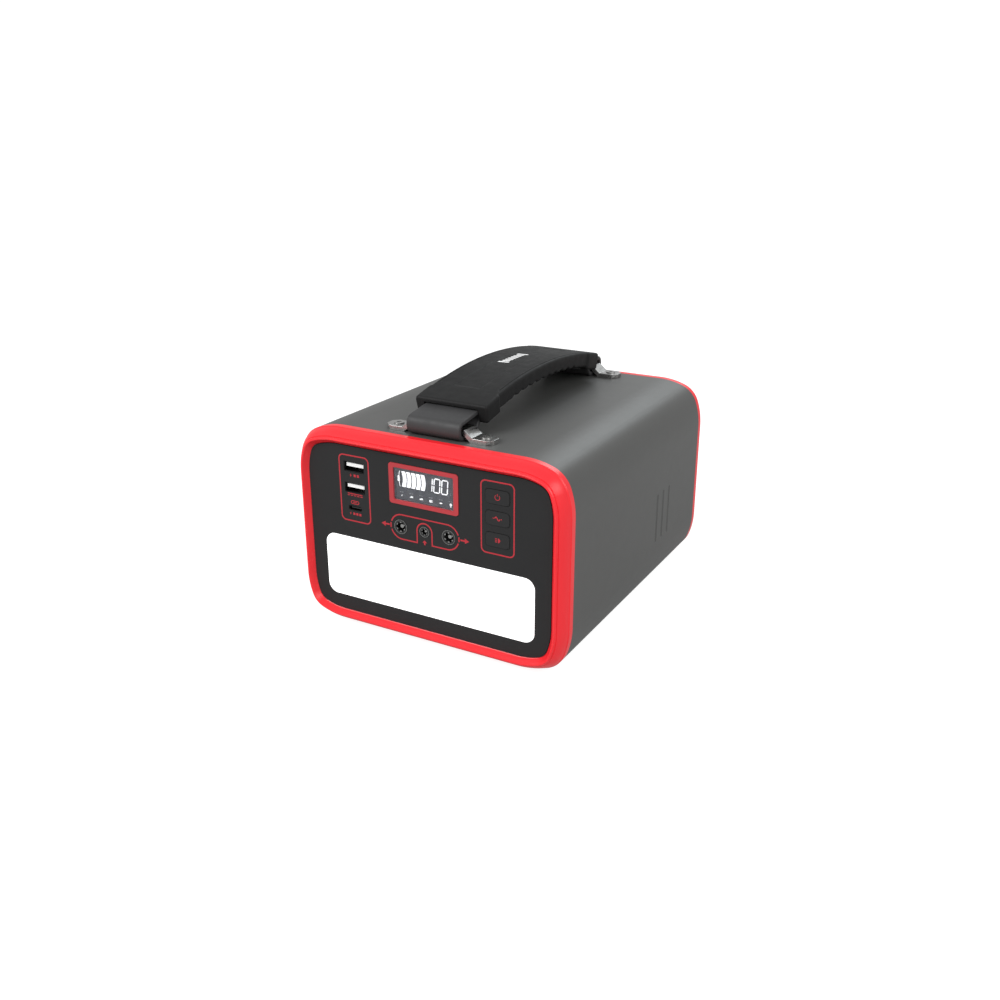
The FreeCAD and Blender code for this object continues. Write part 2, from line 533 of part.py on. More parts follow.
def make_lamp():
    """Diffuser with a lip behind the panel, reflector tray, board and rows of LEDs."""
    height = above_case_bottom("dim.lamp_z")
    lip_width = "dim.lamp_width + 2 * dim.lamp_lip"
    lip_height = "dim.lamp_height + 2 * dim.lamp_lip"
    diffuser = new_part("light_diffuser", y=FRONT_FACE, z=height)
    layer(diffuser, "XZ_Plane", "-dim.lamp_proud", "dim.panel_thickness + dim.lamp_proud",
          lambda sketch: rounded(sketch, "dim.lamp_width", "dim.lamp_height", "dim.lamp_radius"))
    layer(diffuser, "XZ_Plane", "dim.panel_thickness", "dim.lamp_lip_depth",
          lambda sketch: rounded(sketch, lip_width, lip_height, "dim.lamp_radius"))
    tray_start = "dim.panel_thickness + dim.lamp_lip_depth"
    reflector = new_part("light_reflector", y=FRONT_FACE, z=height)
    layer(reflector, "XZ_Plane", tray_start, "dim.lamp_depth",
          lambda sketch: rounded(sketch, lip_width, lip_height, "dim.lamp_radius"))
    cut_layer(reflector, "XZ_Plane", tray_start, "dim.lamp_depth - dim.tray_wall",
              lambda sketch: rounded(sketch, lip_width + " - 2 * dim.tray_wall",
                                     lip_height + " - 2 * dim.tray_wall",
                                     "dim.lamp_radius - dim.tray_wall"))
    board_front = tray_start + " + dim.lamp_depth - dim.tray_wall - dim.lamp_board_thickness"
    margin = " - 2 * (dim.tray_wall + dim.lamp_board_gap)"
    board = new_part("light_board", y=FRONT_FACE, z=height)
    layer(board, "XZ_Plane", board_front, "dim.lamp_board_thickness",
          lambda sketch: rounded(sketch, lip_width + margin, lip_height + margin,
                                 "dim.lamp_radius / 2"))
    leds = new_part("light_leds", y=FRONT_FACE, z=height)

    def led_row(sketch, line):
        for column in LED_COLUMNS:
            rectangle(sketch, "dim.led_width", "dim.led_height",
                      "%d * dim.lamp_width / %d" % (column, len(LED_COLUMNS) + 1),
                      "%d * dim.lamp_height / %d" % (line, len(LED_ROWS) + 1))

    for line in LED_ROWS:
        layer(leds, "XZ_Plane", "%s - dim.led_thickness" % board_front, "dim.led_thickness",
              lambda sketch, line=line: led_row(sketch, line))


# ---------------------------------------------------------------- sockets

def make_usb_port(label, kind, z, tongue_lift):
    """Metal shell open to the front, and the tongue on its insulating block inside it."""
    width, height, corner, depth = ("dim.%s_%s" % (kind, size)
                                    for size in ("width", "height", "radius", "depth"))
    x = "dim.%s_x" % kind
    shell = new_part(label + "_shell", x=x, y=FRONT_FACE, z=above_case_bottom(z))
    wall = "dim.usb_shell_wall"

    def tube(sketch):
        rounded(sketch, width, height, corner)
        rounded(sketch, "%s - 2 * %s" % (width, wall), "%s - 2 * %s" % (height, wall),
                "%s - %s" % (corner, wall))

    layer(shell, "XZ_Plane", "dim.port_recess", depth, tube)
    tongue = new_part(label + "_tongue", x=x, y=FRONT_FACE, z=above_case_bottom(z))
    clear = "(%s + dim.usb_block_gap)" % wall
    block_start = "(dim.port_recess + %s - dim.usb_block_depth)" % depth
    tongue_start = "(dim.port_recess + dim.usb_tongue_setback)"
    layer(tongue, "XZ_Plane", block_start, "dim.usb_block_depth",
          lambda sketch: rounded(sketch, "%s - 2 * %s" % (width, clear),
                                 "%s - 2 * %s" % (height, clear), "%s - %s" % (corner, clear)))
    layer(tongue, "XZ_Plane", tongue_start, "%s - %s" % (block_start, tongue_start),
          lambda sketch: rectangle(sketch, "dim.%s_tongue_width" % kind,
                                   "dim.%s_tongue_height" % kind, "0", tongue_lift))


def make_usb_ports():
    for name, height in USB_A_PORTS.items():
        make_usb_port("usb_a_" + name, "usb_a", height, "dim.usb_a_tongue_lift")
    make_usb_port("usb_c", "usb_c", "dim.usb_c_z", "0")


def make_dc_jack(label, x, radius, bore, pin):
    """Round barrel jack: sleeve with a bore, closed at the back, and its centre pin."""
    jack = new_part(label + "_jack", x=x, y=FRONT_FACE, z=above_case_bottom("dim.dc_z"))

    def ring(sketch):
        circle(sketch, radius)
        circle(sketch, bore)

    floor_start = "(dim.dc_depth - dim.dc_floor)"
    layer(jack, "XZ_Plane", "-dim.dc_proud", "%s + dim.dc_proud" % floor_start, ring)
    layer(jack, "XZ_Plane", floor_start, "dim.dc_floor", lambda sketch: circle(sketch, radius))
    centre_pin = new_part(label + "_pin", x=x, y=FRONT_FACE, z=above_case_bottom("dim.dc_z"))
    layer(centre_pin, "XZ_Plane", "dim.dc_pin_setback", "%s - dim.dc_pin_setback" % floor_start,
          lambda sketch: circle(sketch, pin))


def make_board():
    """Control board on the front panel's posts, with its four screws."""
    board = new_part("control_board", y=behind_front("dim.board_y"),
                     z=above_case_bottom("dim.board_z"))

    def holes(sketch):
        four(lambda x, y: circle(sketch, "dim.screw_hole", x, y),
             "dim.board_post_x", "dim.board_post_z")

    layer(board, "XZ_Plane", "0", "dim.board_thickness",
          lambda sketch: rounded(sketch, "dim.board_width", "dim.board_height",
                                 "dim.board_radius"))
    cut_layer(board, "XZ_Plane", "0", "dim.board_thickness", holes)
    screws = new_part("board_screws", y=behind_front("dim.board_y"),
                      z=above_case_bottom("dim.board_z"))
    layer(screws, "XZ_Plane", "-dim.board_screw_length",
          "dim.board_thickness + dim.board_screw_length",
          lambda sketch: four(lambda x, y: circle(sketch, "dim.screw_radius", x, y),
                              "dim.board_post_x", "dim.board_post_z"))
    layer(screws, "XZ_Plane", "dim.board_thickness", "dim.board_screw_head",
          lambda sketch: four(lambda x, y: circle(sketch, "dim.screw_head_radius", x, y),
                              "dim.board_post_x", "dim.board_post_z"))


# ---------------------------------------------------------------- push buttons

def make_button(name, z):
    """Button cap with a retaining flange, the switch plunger that it pushes and the switch."""
    height = above_case_bottom(z)
    flange_start = "(dim.panel_thickness + dim.button_flange_gap)"
    stem_start = "(%s + dim.button_flange)" % flange_start
    switch_front = "(dim.board_y - dim.switch_depth)"
    plunger_front = "(%s - dim.plunger_out)" % switch_front
    cap = new_part(name + "_button", x="dim.button_x", y=FRONT_FACE, z=height)
    layer(cap, "XZ_Plane", "-dim.button_proud", "%s + dim.button_proud" % flange_start,
          lambda sketch: rounded(sketch, "dim.button_width", "dim.button_height",
                                 "dim.button_radius"))
    layer(cap, "XZ_Plane", flange_start, "dim.button_flange",
          lambda sketch: rounded(sketch, "dim.button_width + 2 * dim.button_flange_reach",
                                 "dim.button_height + 2 * dim.button_flange_reach",
                                 "dim.button_radius"))
    layer(cap, "XZ_Plane", stem_start, "%s - %s" % (plunger_front, stem_start),
          lambda sketch: circle(sketch, "dim.stem_radius"))
    plunger = new_part(name + "_switch_plunger", x="dim.button_x", y=FRONT_FACE, z=height)
    layer(plunger, "XZ_Plane", plunger_front, "dim.plunger_length",
          lambda sketch: circle(sketch, "dim.plunger_radius"))
    switch = new_part(name + "_switch", x="dim.button_x", y=FRONT_FACE, z=height)
    layer(switch, "XZ_Plane", switch_front, "dim.switch_depth",
          lambda sketch: rectangle(sketch, "dim.switch_size", "dim.switch_size"))
    cut_layer(switch, "XZ_Plane", switch_front, "dim.switch_floor_gap + dim.button_travel",
              lambda sketch: circle(sketch, "dim.stem_radius"))


# ---------------------------------------------------------------- handle

def make_bracket(label, side):
    """Bent steel bar: two screwed feet and a raised middle that the strap loops round."""
    turn = 0 if side < 0 else HALF_TURN
    bracket = new_part(label, y="%d * %s" % (side, BRACKET_Y), z=CASE_TOP, turn=turn)
    thickness = "dim.bracket_thickness"
    rise = "dim.bracket_rise"
    run = "(dim.bracket_bend_out - dim.bracket_bend_in)"
    shift = "%s * tan(atan(%s / %s) / 2)" % (thickness, rise, run)
    upper = [("dim.bracket_half", thickness),
             ("dim.bracket_bend_out", thickness),
             ("dim.bracket_bend_in", "%s + %s" % (rise, thickness))]
    lower = [("dim.bracket_half", "0"),
             ("dim.bracket_bend_out - %s" % shift, "0"),
             ("dim.bracket_bend_in - %s" % shift, rise)]

    def mirrored(points):
        return [("-(%s)" % x, y) for x, y in reversed(points)]

    outline = upper + mirrored(upper)
    outline += [("-(%s)" % x, y) for x, y in lower]
    outline += list(reversed(lower))
    layer(bracket, "XZ_Plane", "-dim.bracket_depth / 2", "dim.bracket_depth",
          lambda sketch: path(sketch, outline))
    cut_layer(bracket, "XY_Plane", "0", thickness,
              lambda sketch: [circle(sketch, "dim.screw_hole", "%d * dim.bracket_screw_x" % across)
                              for across in SIDES])

    def corner(sketch, across, along):
        """A triangle that stands past the foot's corner on both sides."""
        side, edge = "(dim.bracket_half + 1)", "(dim.bracket_depth / 2 + 1)"
        reach = "(dim.bracket_corner + 2)"
        path(sketch, [("%d * %s" % (across, side), "%d * %s" % (along, edge)),
                      ("%d * (%s - %s)" % (across, side, reach), "%d * %s" % (along, edge)),
                      ("%d * %s" % (across, side), "%d * (%s - %s)" % (along, edge, reach))])

    def corners(sketch):
        for across in SIDES:
            for along in SIDES:
                corner(sketch, across, along)

    cut_layer(bracket, "XY_Plane", "-1", "%s + 2" % thickness, corners)


def make_bracket_screws():
    """Four low-headed screws with cross recesses, through the brackets into the sleeve."""
    screws = new_part("bracket_screws", z=CASE_TOP + " + dim.bracket_thickness")

    def at_feet(draw):
        four(draw, "dim.bracket_screw_x", BRACKET_Y)

    layer(screws, "XY_Plane", "0", "dim.bracket_screw_head",
          lambda sketch: at_feet(lambda x, y: circle(sketch, "dim.screw_head_radius", x, y)))
    layer(screws, "XY_Plane", "-dim.bracket_screw_length", "dim.bracket_screw_length",
          lambda sketch: at_feet(lambda x, y: circle(sketch, "dim.screw_radius", x, y)))
    for size in (("dim.cross_length", "dim.cross_width"), ("dim.cross_width", "dim.cross_length")):
        cut_layer(screws, "XY_Plane", "dim.cross_floor", "dim.bracket_screw_head",
                  lambda sketch, size=size: at_feet(
                      lambda x, y: rectangle(sketch, size[0], size[1], x, y)))


def make_strap_loop(label, side):
    """Strap end: a loop round the bracket's raised bar that runs up into the grip's mouth."""
    turn = 0 if side < 0 else HALF_TURN
    loop = new_part(label, y="%d * %s" % (side, BRACKET_Y), z=CASE_TOP, turn=turn)
    radius = "dim.strap_loop_radius"
    gap = "dim.strap_gap"
    thick = "dim.strap_thickness"
    front = "(-dim.bracket_depth / 2 + dim.loop_setback)"
    axis = "(%s + %s)" % (gap, radius)
    reach = "(%s - dim.grip_half_length + dim.grip_mouth_depth)" % BRACKET_Y

    def outer(sketch):
        path(sketch, [(front, "%s + 2 * %s" % (gap, radius), radius),
                      ("%s - %s" % (front, radius), axis, radius),
                      (front, gap),
                      ("dim.loop_foot_end", gap),
                      ("dim.neck_end", "dim.neck_bottom"),
                      (reach, "dim.strap_end_bottom"),
                      (reach, "dim.strap_end_top"),
                      ("dim.neck_start", "dim.neck_top")])

    def inner(sketch):
        inside = "(%s - %s)" % (radius, thick)
        path(sketch, [(front, "%s + %s" % (axis, inside), inside),
                      ("%s - %s" % (front, inside), axis, inside),
                      (front, "%s + %s" % (gap, thick)),
                      ("dim.loop_hole_end", "%s + %s" % (gap, thick)),
                      ("dim.loop_hole_tip", "dim.loop_hole_tip_height"),
                      ("dim.neck_start", "dim.loop_hole_top")])

    layer(loop, "YZ_Plane", "-dim.strap_width / 2", "dim.strap_width", outer)
    cut_layer(loop, "YZ_Plane", "-dim.strap_width / 2", "dim.strap_width", inner)


def arch_radius(half_length, rise):
    return "((%s * %s + %s * %s) / (2 * %s))" % (half_length, half_length, rise, rise, rise)


def make_grip():
    """Arched grip over the case, with a mouth at each end that takes the strap."""
    grip = new_part("handle_grip", z=CASE_TOP)
    half = "dim.grip_half_length"
    top_rise = "(dim.grip_crest - dim.grip_end_top)"
    bottom_rise = "(dim.grip_crest_bottom - dim.grip_end_bottom)"
    bottom_half = "(%s - dim.grip_end_slope)" % half

    def side_view(sketch):
        path(sketch, [("-" + bottom_half, "dim.grip_end_bottom",
                       arch_radius(bottom_half, bottom_rise), -1),
                      (bottom_half, "dim.grip_end_bottom"),
                      (half, "dim.grip_end_top", arch_radius(half, top_rise)),
                      ("-" + half, "dim.grip_end_top")])

    layer(grip, "YZ_Plane", "-dim.grip_width / 2", "dim.grip_width", side_view)
    for start in ("-%s" % half, "%s - dim.grip_mouth_depth" % half):
        cut_layer(grip, "XZ_Plane", start, "dim.grip_mouth_depth",
                  lambda sketch: rectangle(sketch, "dim.grip_mouth_width",
                                           "dim.grip_mouth_top", "0", "dim.grip_mouth_top / 2"))


# ---------------------------------------------------------------- battery pack

def in_grid(index, count):
    """Distance of one cell's axis from the pack's middle, counted in a row or column of cells."""
    return "(%s * dim.cell_pitch)" % (index - (count - 1) / 2)


def make_cells():
    """Rows of round cells, each lying front to back."""
    for line in range(CELL_ROWS):
        height = above_case_bottom("dim.pack_z + %s" % in_grid(line, CELL_ROWS))
        row_part = new_part("cell_row_%d" % (line + 1), y="dim.pack_y", z=height)

        def cells(sketch):
            for column in range(CELL_COLUMNS):
                circle(sketch, "dim.cell_radius", in_grid(column, CELL_COLUMNS))

        layer(row_part, "XZ_Plane", "-dim.cell_length / 2", "dim.cell_length", cells)


def make_holders():
    """Plastic end plates that hold the cells, and the metal tabs welded across them."""
    tabs = new_part("cell_strips", y="dim.pack_y", z=above_case_bottom("dim.pack_z"))
    outside = "(dim.cell_length / 2 - dim.cell_socket + dim.holder_thickness)"

    def sockets(sketch, radius):
        for line in range(CELL_ROWS):
            for column in range(CELL_COLUMNS):
                circle(sketch, radius, in_grid(column, CELL_COLUMNS), in_grid(line, CELL_ROWS))

    def bars(sketch):
        for column in range(CELL_COLUMNS):
            rectangle(sketch, "dim.tab_width", "dim.holder_height - 2 * dim.tab_end_gap",
                      in_grid(column, CELL_COLUMNS))

    for label, side in (("cell_holder_front", -1), ("cell_holder_rear", 1)):
        turn = 0 if side < 0 else HALF_TURN
        holder = new_part(label, y="dim.pack_y", z=above_case_bottom("dim.pack_z"), turn=turn)
        layer(holder, "XZ_Plane", "-" + outside, "dim.holder_thickness",
              lambda sketch: rounded(sketch, "dim.holder_width", "dim.holder_height",
                                     "dim.holder_radius"))
        cut_layer(holder, "XZ_Plane", "-dim.cell_length / 2", "dim.cell_socket",
                  lambda sketch: sockets(sketch, "dim.cell_radius + dim.cell_gap"))
        cut_layer(holder, "XZ_Plane", "-" + outside, "dim.holder_thickness",
                  lambda sketch: sockets(sketch, "dim.cell_radius - dim.cell_rim"))
        tab_start = "-%s - dim.tab_thickness" % outside if side < 0 else outside
        layer(tabs, "XZ_Plane", tab_start, "dim.tab_thickness", bars)


def make_battery_electronics():
    """Battery board on the holders' top edges, and the two leads down to the inverter."""
    pack_top = above_case_bottom("dim.pack_z + dim.holder_height / 2")
    board = new_part("bms_board", y="dim.pack_y", z=pack_top)
    layer(board, "XY_Plane", "0", "dim.board_thickness",
          lambda sketch: rounded(sketch, "dim.bms_width",
                                 "dim.cell_length + 2 * dim.bms_overhang", "dim.bms_radius"))
    leads = new_part("battery_leads", y="dim.pack_y + dim.cell_length / 2", z=pack_top)
    height = "(dim.lead_lift + dim.lead_radius)"
    drop = ("(dim.pack_z + dim.holder_height / 2 - dim.sleeve_wall - dim.inverter_clearance"
            " - dim.lead_end_gap)")
    for side in SIDES:
        route = new_sketch(leads, "YZ_Plane", "%d * dim.lead_spread" % side)
        path(route, [("0", height), ("dim.lead_run", height, "dim.lead_bend", -1),
                     ("dim.lead_run + dim.lead_bend", "%s - dim.lead_bend" % height),
                     ("dim.lead_run + dim.lead_bend", "-" + drop)], closed=False)
        end = new_sketch(leads, "XZ_Plane")
        circle(end, "dim.lead_radius", "%d * dim.lead_spread" % side, height)
        lead = leads.newObject("PartDesign::AdditivePipe", "lead")
        lead.Profile = end
        lead.Spine = (route, [])
        leads.Tip = lead


# ---------------------------------------------------------------- inverter

def make_inverter():
    """Inverter board on four posts, its transformer and its finned heat sink."""
    board = new_part("inverter_board", y="dim.inverter_y", z=FLOOR_INSIDE)
    layer(board, "XY_Plane", "dim.inverter_clearance", "dim.board_thickness",
          lambda sketch: rounded(sketch, "dim.inverter_width", "dim.inverter_length",
                                 "dim.board_radius"))
    layer(board, "XY_Plane", "0", "dim.inverter_clearance",
          lambda sketch: four(lambda x, y: circle(sketch, "dim.post_radius", x, y),
                              "(dim.foot_across / 2)",
                              "(dim.inverter_length / 2 - dim.post_inset)"))
    deck = FLOOR_INSIDE + " + dim.inverter_clearance + dim.board_thickness"
    transformer = new_part("transformer", x="dim.transformer_x", y="dim.transformer_y", z=deck)
    layer(transformer, "XY_Plane", "0", "dim.core_height",
          lambda sketch: rectangle(sketch, "dim.core_width", "dim.core_length"))
    layer(transformer, "XY_Plane", "dim.winding_start", "dim.winding_height",
          lambda sketch: rounded(sketch, "dim.winding_width", "dim.winding_length",
                                 "dim.winding_radius"))
    heatsink = new_part("heatsink", x="dim.heatsink_x", y="dim.heatsink_y", z=deck)
    layer(heatsink, "XY_Plane", "0", "dim.heatsink_base",
          lambda sketch: rectangle(sketch, "dim.heatsink_width", "dim.heatsink_length"))

    def fins(sketch):
        for step in FIN_STEPS:
            rectangle(sketch, "dim.fin_thickness", "dim.heatsink_length",
                      "%d * dim.fin_pitch" % step)

    layer(heatsink, "XY_Plane", "dim.heatsink_base", "dim.fin_height", fins)


# ---------------------------------------------------------------- rear panel, fan and mains socket

def make_rear_panel():
    """Rear panel with a round grille of slots over the fan, the mains socket and screw holes."""
    panel = new_part("rear_panel", y="%s - dim.panel_thickness" % REAR_FACE, z=CASE_CENTRE)
    layer(panel, "XZ_Plane", "0", "dim.panel_thickness",
          lambda sketch: case_outline(sketch, "(dim.bezel_face_width + dim.panel_gap)"))

    def opening(draw):
        cut_layer(panel, "XZ_Plane", "0", "dim.panel_thickness", draw)

    opening(lambda sketch: four(lambda x, y: circle(sketch, "dim.screw_hole", x, y),
                                "dim.boss_x", "dim.boss_z"))
    opening(lambda sketch: rounded(sketch, "dim.ac_size + dim.fit_gap",
                                   "dim.ac_size + dim.fit_gap", "dim.ac_corner", "dim.ac_x",
                                   "dim.ac_z - %s" % CASE_CENTRE))
    for step in GRILLE_STEPS:
        offset = "(%d * 2 * dim.fan_bore / %d)" % (step, len(GRILLE_STEPS))
        chord = "2 * sqrt(dim.fan_bore * dim.fan_bore - %s * %s)" % (offset, offset)
        opening(lambda sketch, slot=chord + " - dim.grille_margin", offset=offset: rounded(
            sketch, slot, "dim.grille_slot_width", "dim.grille_slot_radius", "dim.fan_x",
            "dim.fan_z - %s + %s" % (CASE_CENTRE, offset)))


def make_fan():
    """Fan housing with a shaft on cross arms, and the rotor that turns on it."""
    inner_face = "%s - dim.panel_thickness - dim.fan_depth" % REAR_FACE
    housing = new_part("fan_housing", x="dim.fan_x", y=inner_face, z="dim.fan_z")

    def ring(sketch):
        rounded(sketch, "dim.fan_size", "dim.fan_size", "dim.fan_corner")
        circle(sketch, "dim.fan_bore")

    layer(housing, "XZ_Plane", "0", "dim.fan_depth", ring)
    layer(housing, "XZ_Plane", "0", "dim.fan_arm_depth",
          lambda sketch: circle(sketch, "dim.fan_hub_radius"))
    arm_length = "2 * dim.fan_bore + 1"
    for width, height in (("dim.fan_arm_width", arm_length), (arm_length, "dim.fan_arm_width")):
        layer(housing, "XZ_Plane", "0", "dim.fan_arm_depth",
              lambda sketch, width=width, height=height: rectangle(sketch, width, height))
    layer(housing, "XZ_Plane", "dim.fan_arm_depth", "dim.fan_shaft_length",
          lambda sketch: circle(sketch, "dim.fan_shaft_radius"))
    rotor = new_part("fan_rotor", x="dim.fan_x", y=inner_face, z="dim.fan_z")
    layer(rotor, "XZ_Plane", "dim.rotor_start", "dim.rotor_depth",
          lambda sketch: circle(sketch, "dim.fan_hub_radius"))
    reach = "(dim.fan_bore - dim.fan_hub_radius - dim.fan_tip_gap)"
    blade = layer(rotor, "YZ_Plane", "dim.fan_hub_radius - 1", reach,
                  lambda sketch: path(sketch, [
                      ("dim.blade_front", "-dim.blade_half_height"),
                      ("dim.blade_front + dim.blade_chord", "-dim.blade_half_height"),
                      ("dim.blade_rear + dim.blade_chord", "dim.blade_half_height"),
                      ("dim.blade_rear", "dim.blade_half_height")]))
    blades = rotor.newObject("PartDesign::PolarPattern", "blades")
    blades.Originals = [blade]
    turning_axis = next(item for item in rotor.Origin.OriginFeatures if item.Role == "Y_Axis")
    blades.Axis = (turning_axis, [""])
    blades.Angle = 2 * HALF_TURN
    blades.setExpression("Occurrences", "dim.fan_blades")
    rotor.Tip = blades
    cut_layer(rotor, "XZ_Plane", "dim.fan_arm_depth", "dim.rotor_bore_depth",
              lambda sketch: circle(sketch, "dim.fan_shaft_radius + dim.fan_running_gap"))


def make_mains_socket():
    """Mains outlet in the rear panel: insulating body with two blade slots and an earth hole."""
    socket_face = "%s + dim.ac_proud" % REAR_FACE
    socket = new_part("ac_socket", x="dim.ac_x", y=socket_face, z="dim.ac_z")
    layer(socket, "XZ_Plane", "-dim.ac_depth", "dim.ac_depth",
          lambda sketch: rounded(sketch, "dim.ac_size", "dim.ac_size", "dim.ac_corner"))

    def slots(sketch, inset="0"):
        for side in SIDES:
            rectangle(sketch, "dim.blade_slot_width - 2 * %s" % inset,
                      "dim.blade_slot_height - 2 * %s" % inset,
                      "%d * dim.blade_slot_x" % side, "dim.blade_slot_z")
        circle(sketch, "dim.earth_radius - %s" % inset, "0", "dim.earth_z")

    cut_layer(socket, "XZ_Plane", "-dim.ac_slot_depth", "dim.ac_slot_depth", slots)
    contacts = new_part("ac_contacts", x="dim.ac_x", y=socket_face, z="dim.ac_z")
    layer(contacts, "XZ_Plane", "-dim.ac_slot_depth", "dim.contact_length",
          lambda sketch: slots(sketch, "dim.contact_gap"))


# ---------------------------------------------------------------- build, check and write

make_sleeve()
make_bezel("front_bezel", -1, countersunk=True)
make_bezel("rear_bezel", 1, countersunk=False)
make_feet()
make_case_screws()
make_front_panel()
make_display()
make_lamp()
make_usb_ports()
for jack_name, (jack_x, outer_radius, bore_radius, pin_radius) in DC_JACKS.items():
    make_dc_jack(jack_name, jack_x, outer_radius, bore_radius, pin_radius)
make_board()
for button_name, button_z in BUTTONS.items():
    make_button(button_name, button_z)
make_bracket("front_handle_bracket", -1)
make_bracket("rear_handle_bracket", 1)
make_bracket_screws()
make_strap_loop("front_strap_loop", -1)
make_strap_loop("rear_strap_loop", 1)
make_grip()
make_cells()
make_holders()
make_battery_electronics()
make_inverter()
make_rear_panel()
make_fan()
make_mains_socket()
doc.recompute()

problems = []
for item in doc.Objects:
    if "Invalid" in item.State or "Error" in item.State:
        problems.append("%s: %s" % (item.Name, item.State))
    if item.TypeId == "PartDesign::Pocket" and item.BaseFeature is not None:
        if item.BaseFeature.Shape.Volume - item.Shape.Volume < LEAST_CUT:
            problems.append("%s cuts nothing" % item.Name)
for part in parts:
    if part.Shape.isNull() or not part.Shape.isValid():
        problems.append("%s has no valid shape" % part.Label)
if problems:
    raise RuntimeError("; ".join(problems))

os.makedirs("parts", exist_ok=True)
for part in parts:
    part.Shape.exportStep(os.path.join("parts", part.Label + ".step"))
print("%d parts written" % len(parts))
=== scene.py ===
"""Looks of the portable power station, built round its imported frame.

Shapes are worked out in millimetres in the row frame: the front panel faces -Y and +Z is up.
"""

import json
import math

import bmesh
import bpy
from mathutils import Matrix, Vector


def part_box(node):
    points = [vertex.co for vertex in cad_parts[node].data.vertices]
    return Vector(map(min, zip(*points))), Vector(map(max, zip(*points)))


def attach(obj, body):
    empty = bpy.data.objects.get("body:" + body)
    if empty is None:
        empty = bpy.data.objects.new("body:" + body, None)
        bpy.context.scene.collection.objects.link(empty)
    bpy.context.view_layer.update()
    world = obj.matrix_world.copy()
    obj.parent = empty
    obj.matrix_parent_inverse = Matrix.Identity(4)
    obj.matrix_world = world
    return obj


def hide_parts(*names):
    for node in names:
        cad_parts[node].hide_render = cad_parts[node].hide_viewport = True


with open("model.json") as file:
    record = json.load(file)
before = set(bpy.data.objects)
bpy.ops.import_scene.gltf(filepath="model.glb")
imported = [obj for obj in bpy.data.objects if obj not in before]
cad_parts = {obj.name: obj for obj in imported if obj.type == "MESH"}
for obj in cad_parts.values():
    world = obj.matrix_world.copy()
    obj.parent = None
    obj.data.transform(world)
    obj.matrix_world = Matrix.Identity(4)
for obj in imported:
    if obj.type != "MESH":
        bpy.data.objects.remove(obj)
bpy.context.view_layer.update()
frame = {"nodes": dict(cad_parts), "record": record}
MM = 0.001


def box(*nodes):
    """Lowest and highest corner of one or more CAD nodes, in millimetres."""
    corners = [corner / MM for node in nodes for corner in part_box(node)]
    low = Vector([min(corner[axis] for corner in corners) for axis in range(3)])
    high = Vector([max(corner[axis] for corner in corners) for axis in range(3)])
    return low, high


def middle(*nodes):
    low, high = box(*nodes)
    return (low + high) / 2


PANEL_FACE = box("front_panel")[0].y
CASE_TOP = box("body_sleeve")[1].z

# ---------------------------------------------------------------- materials


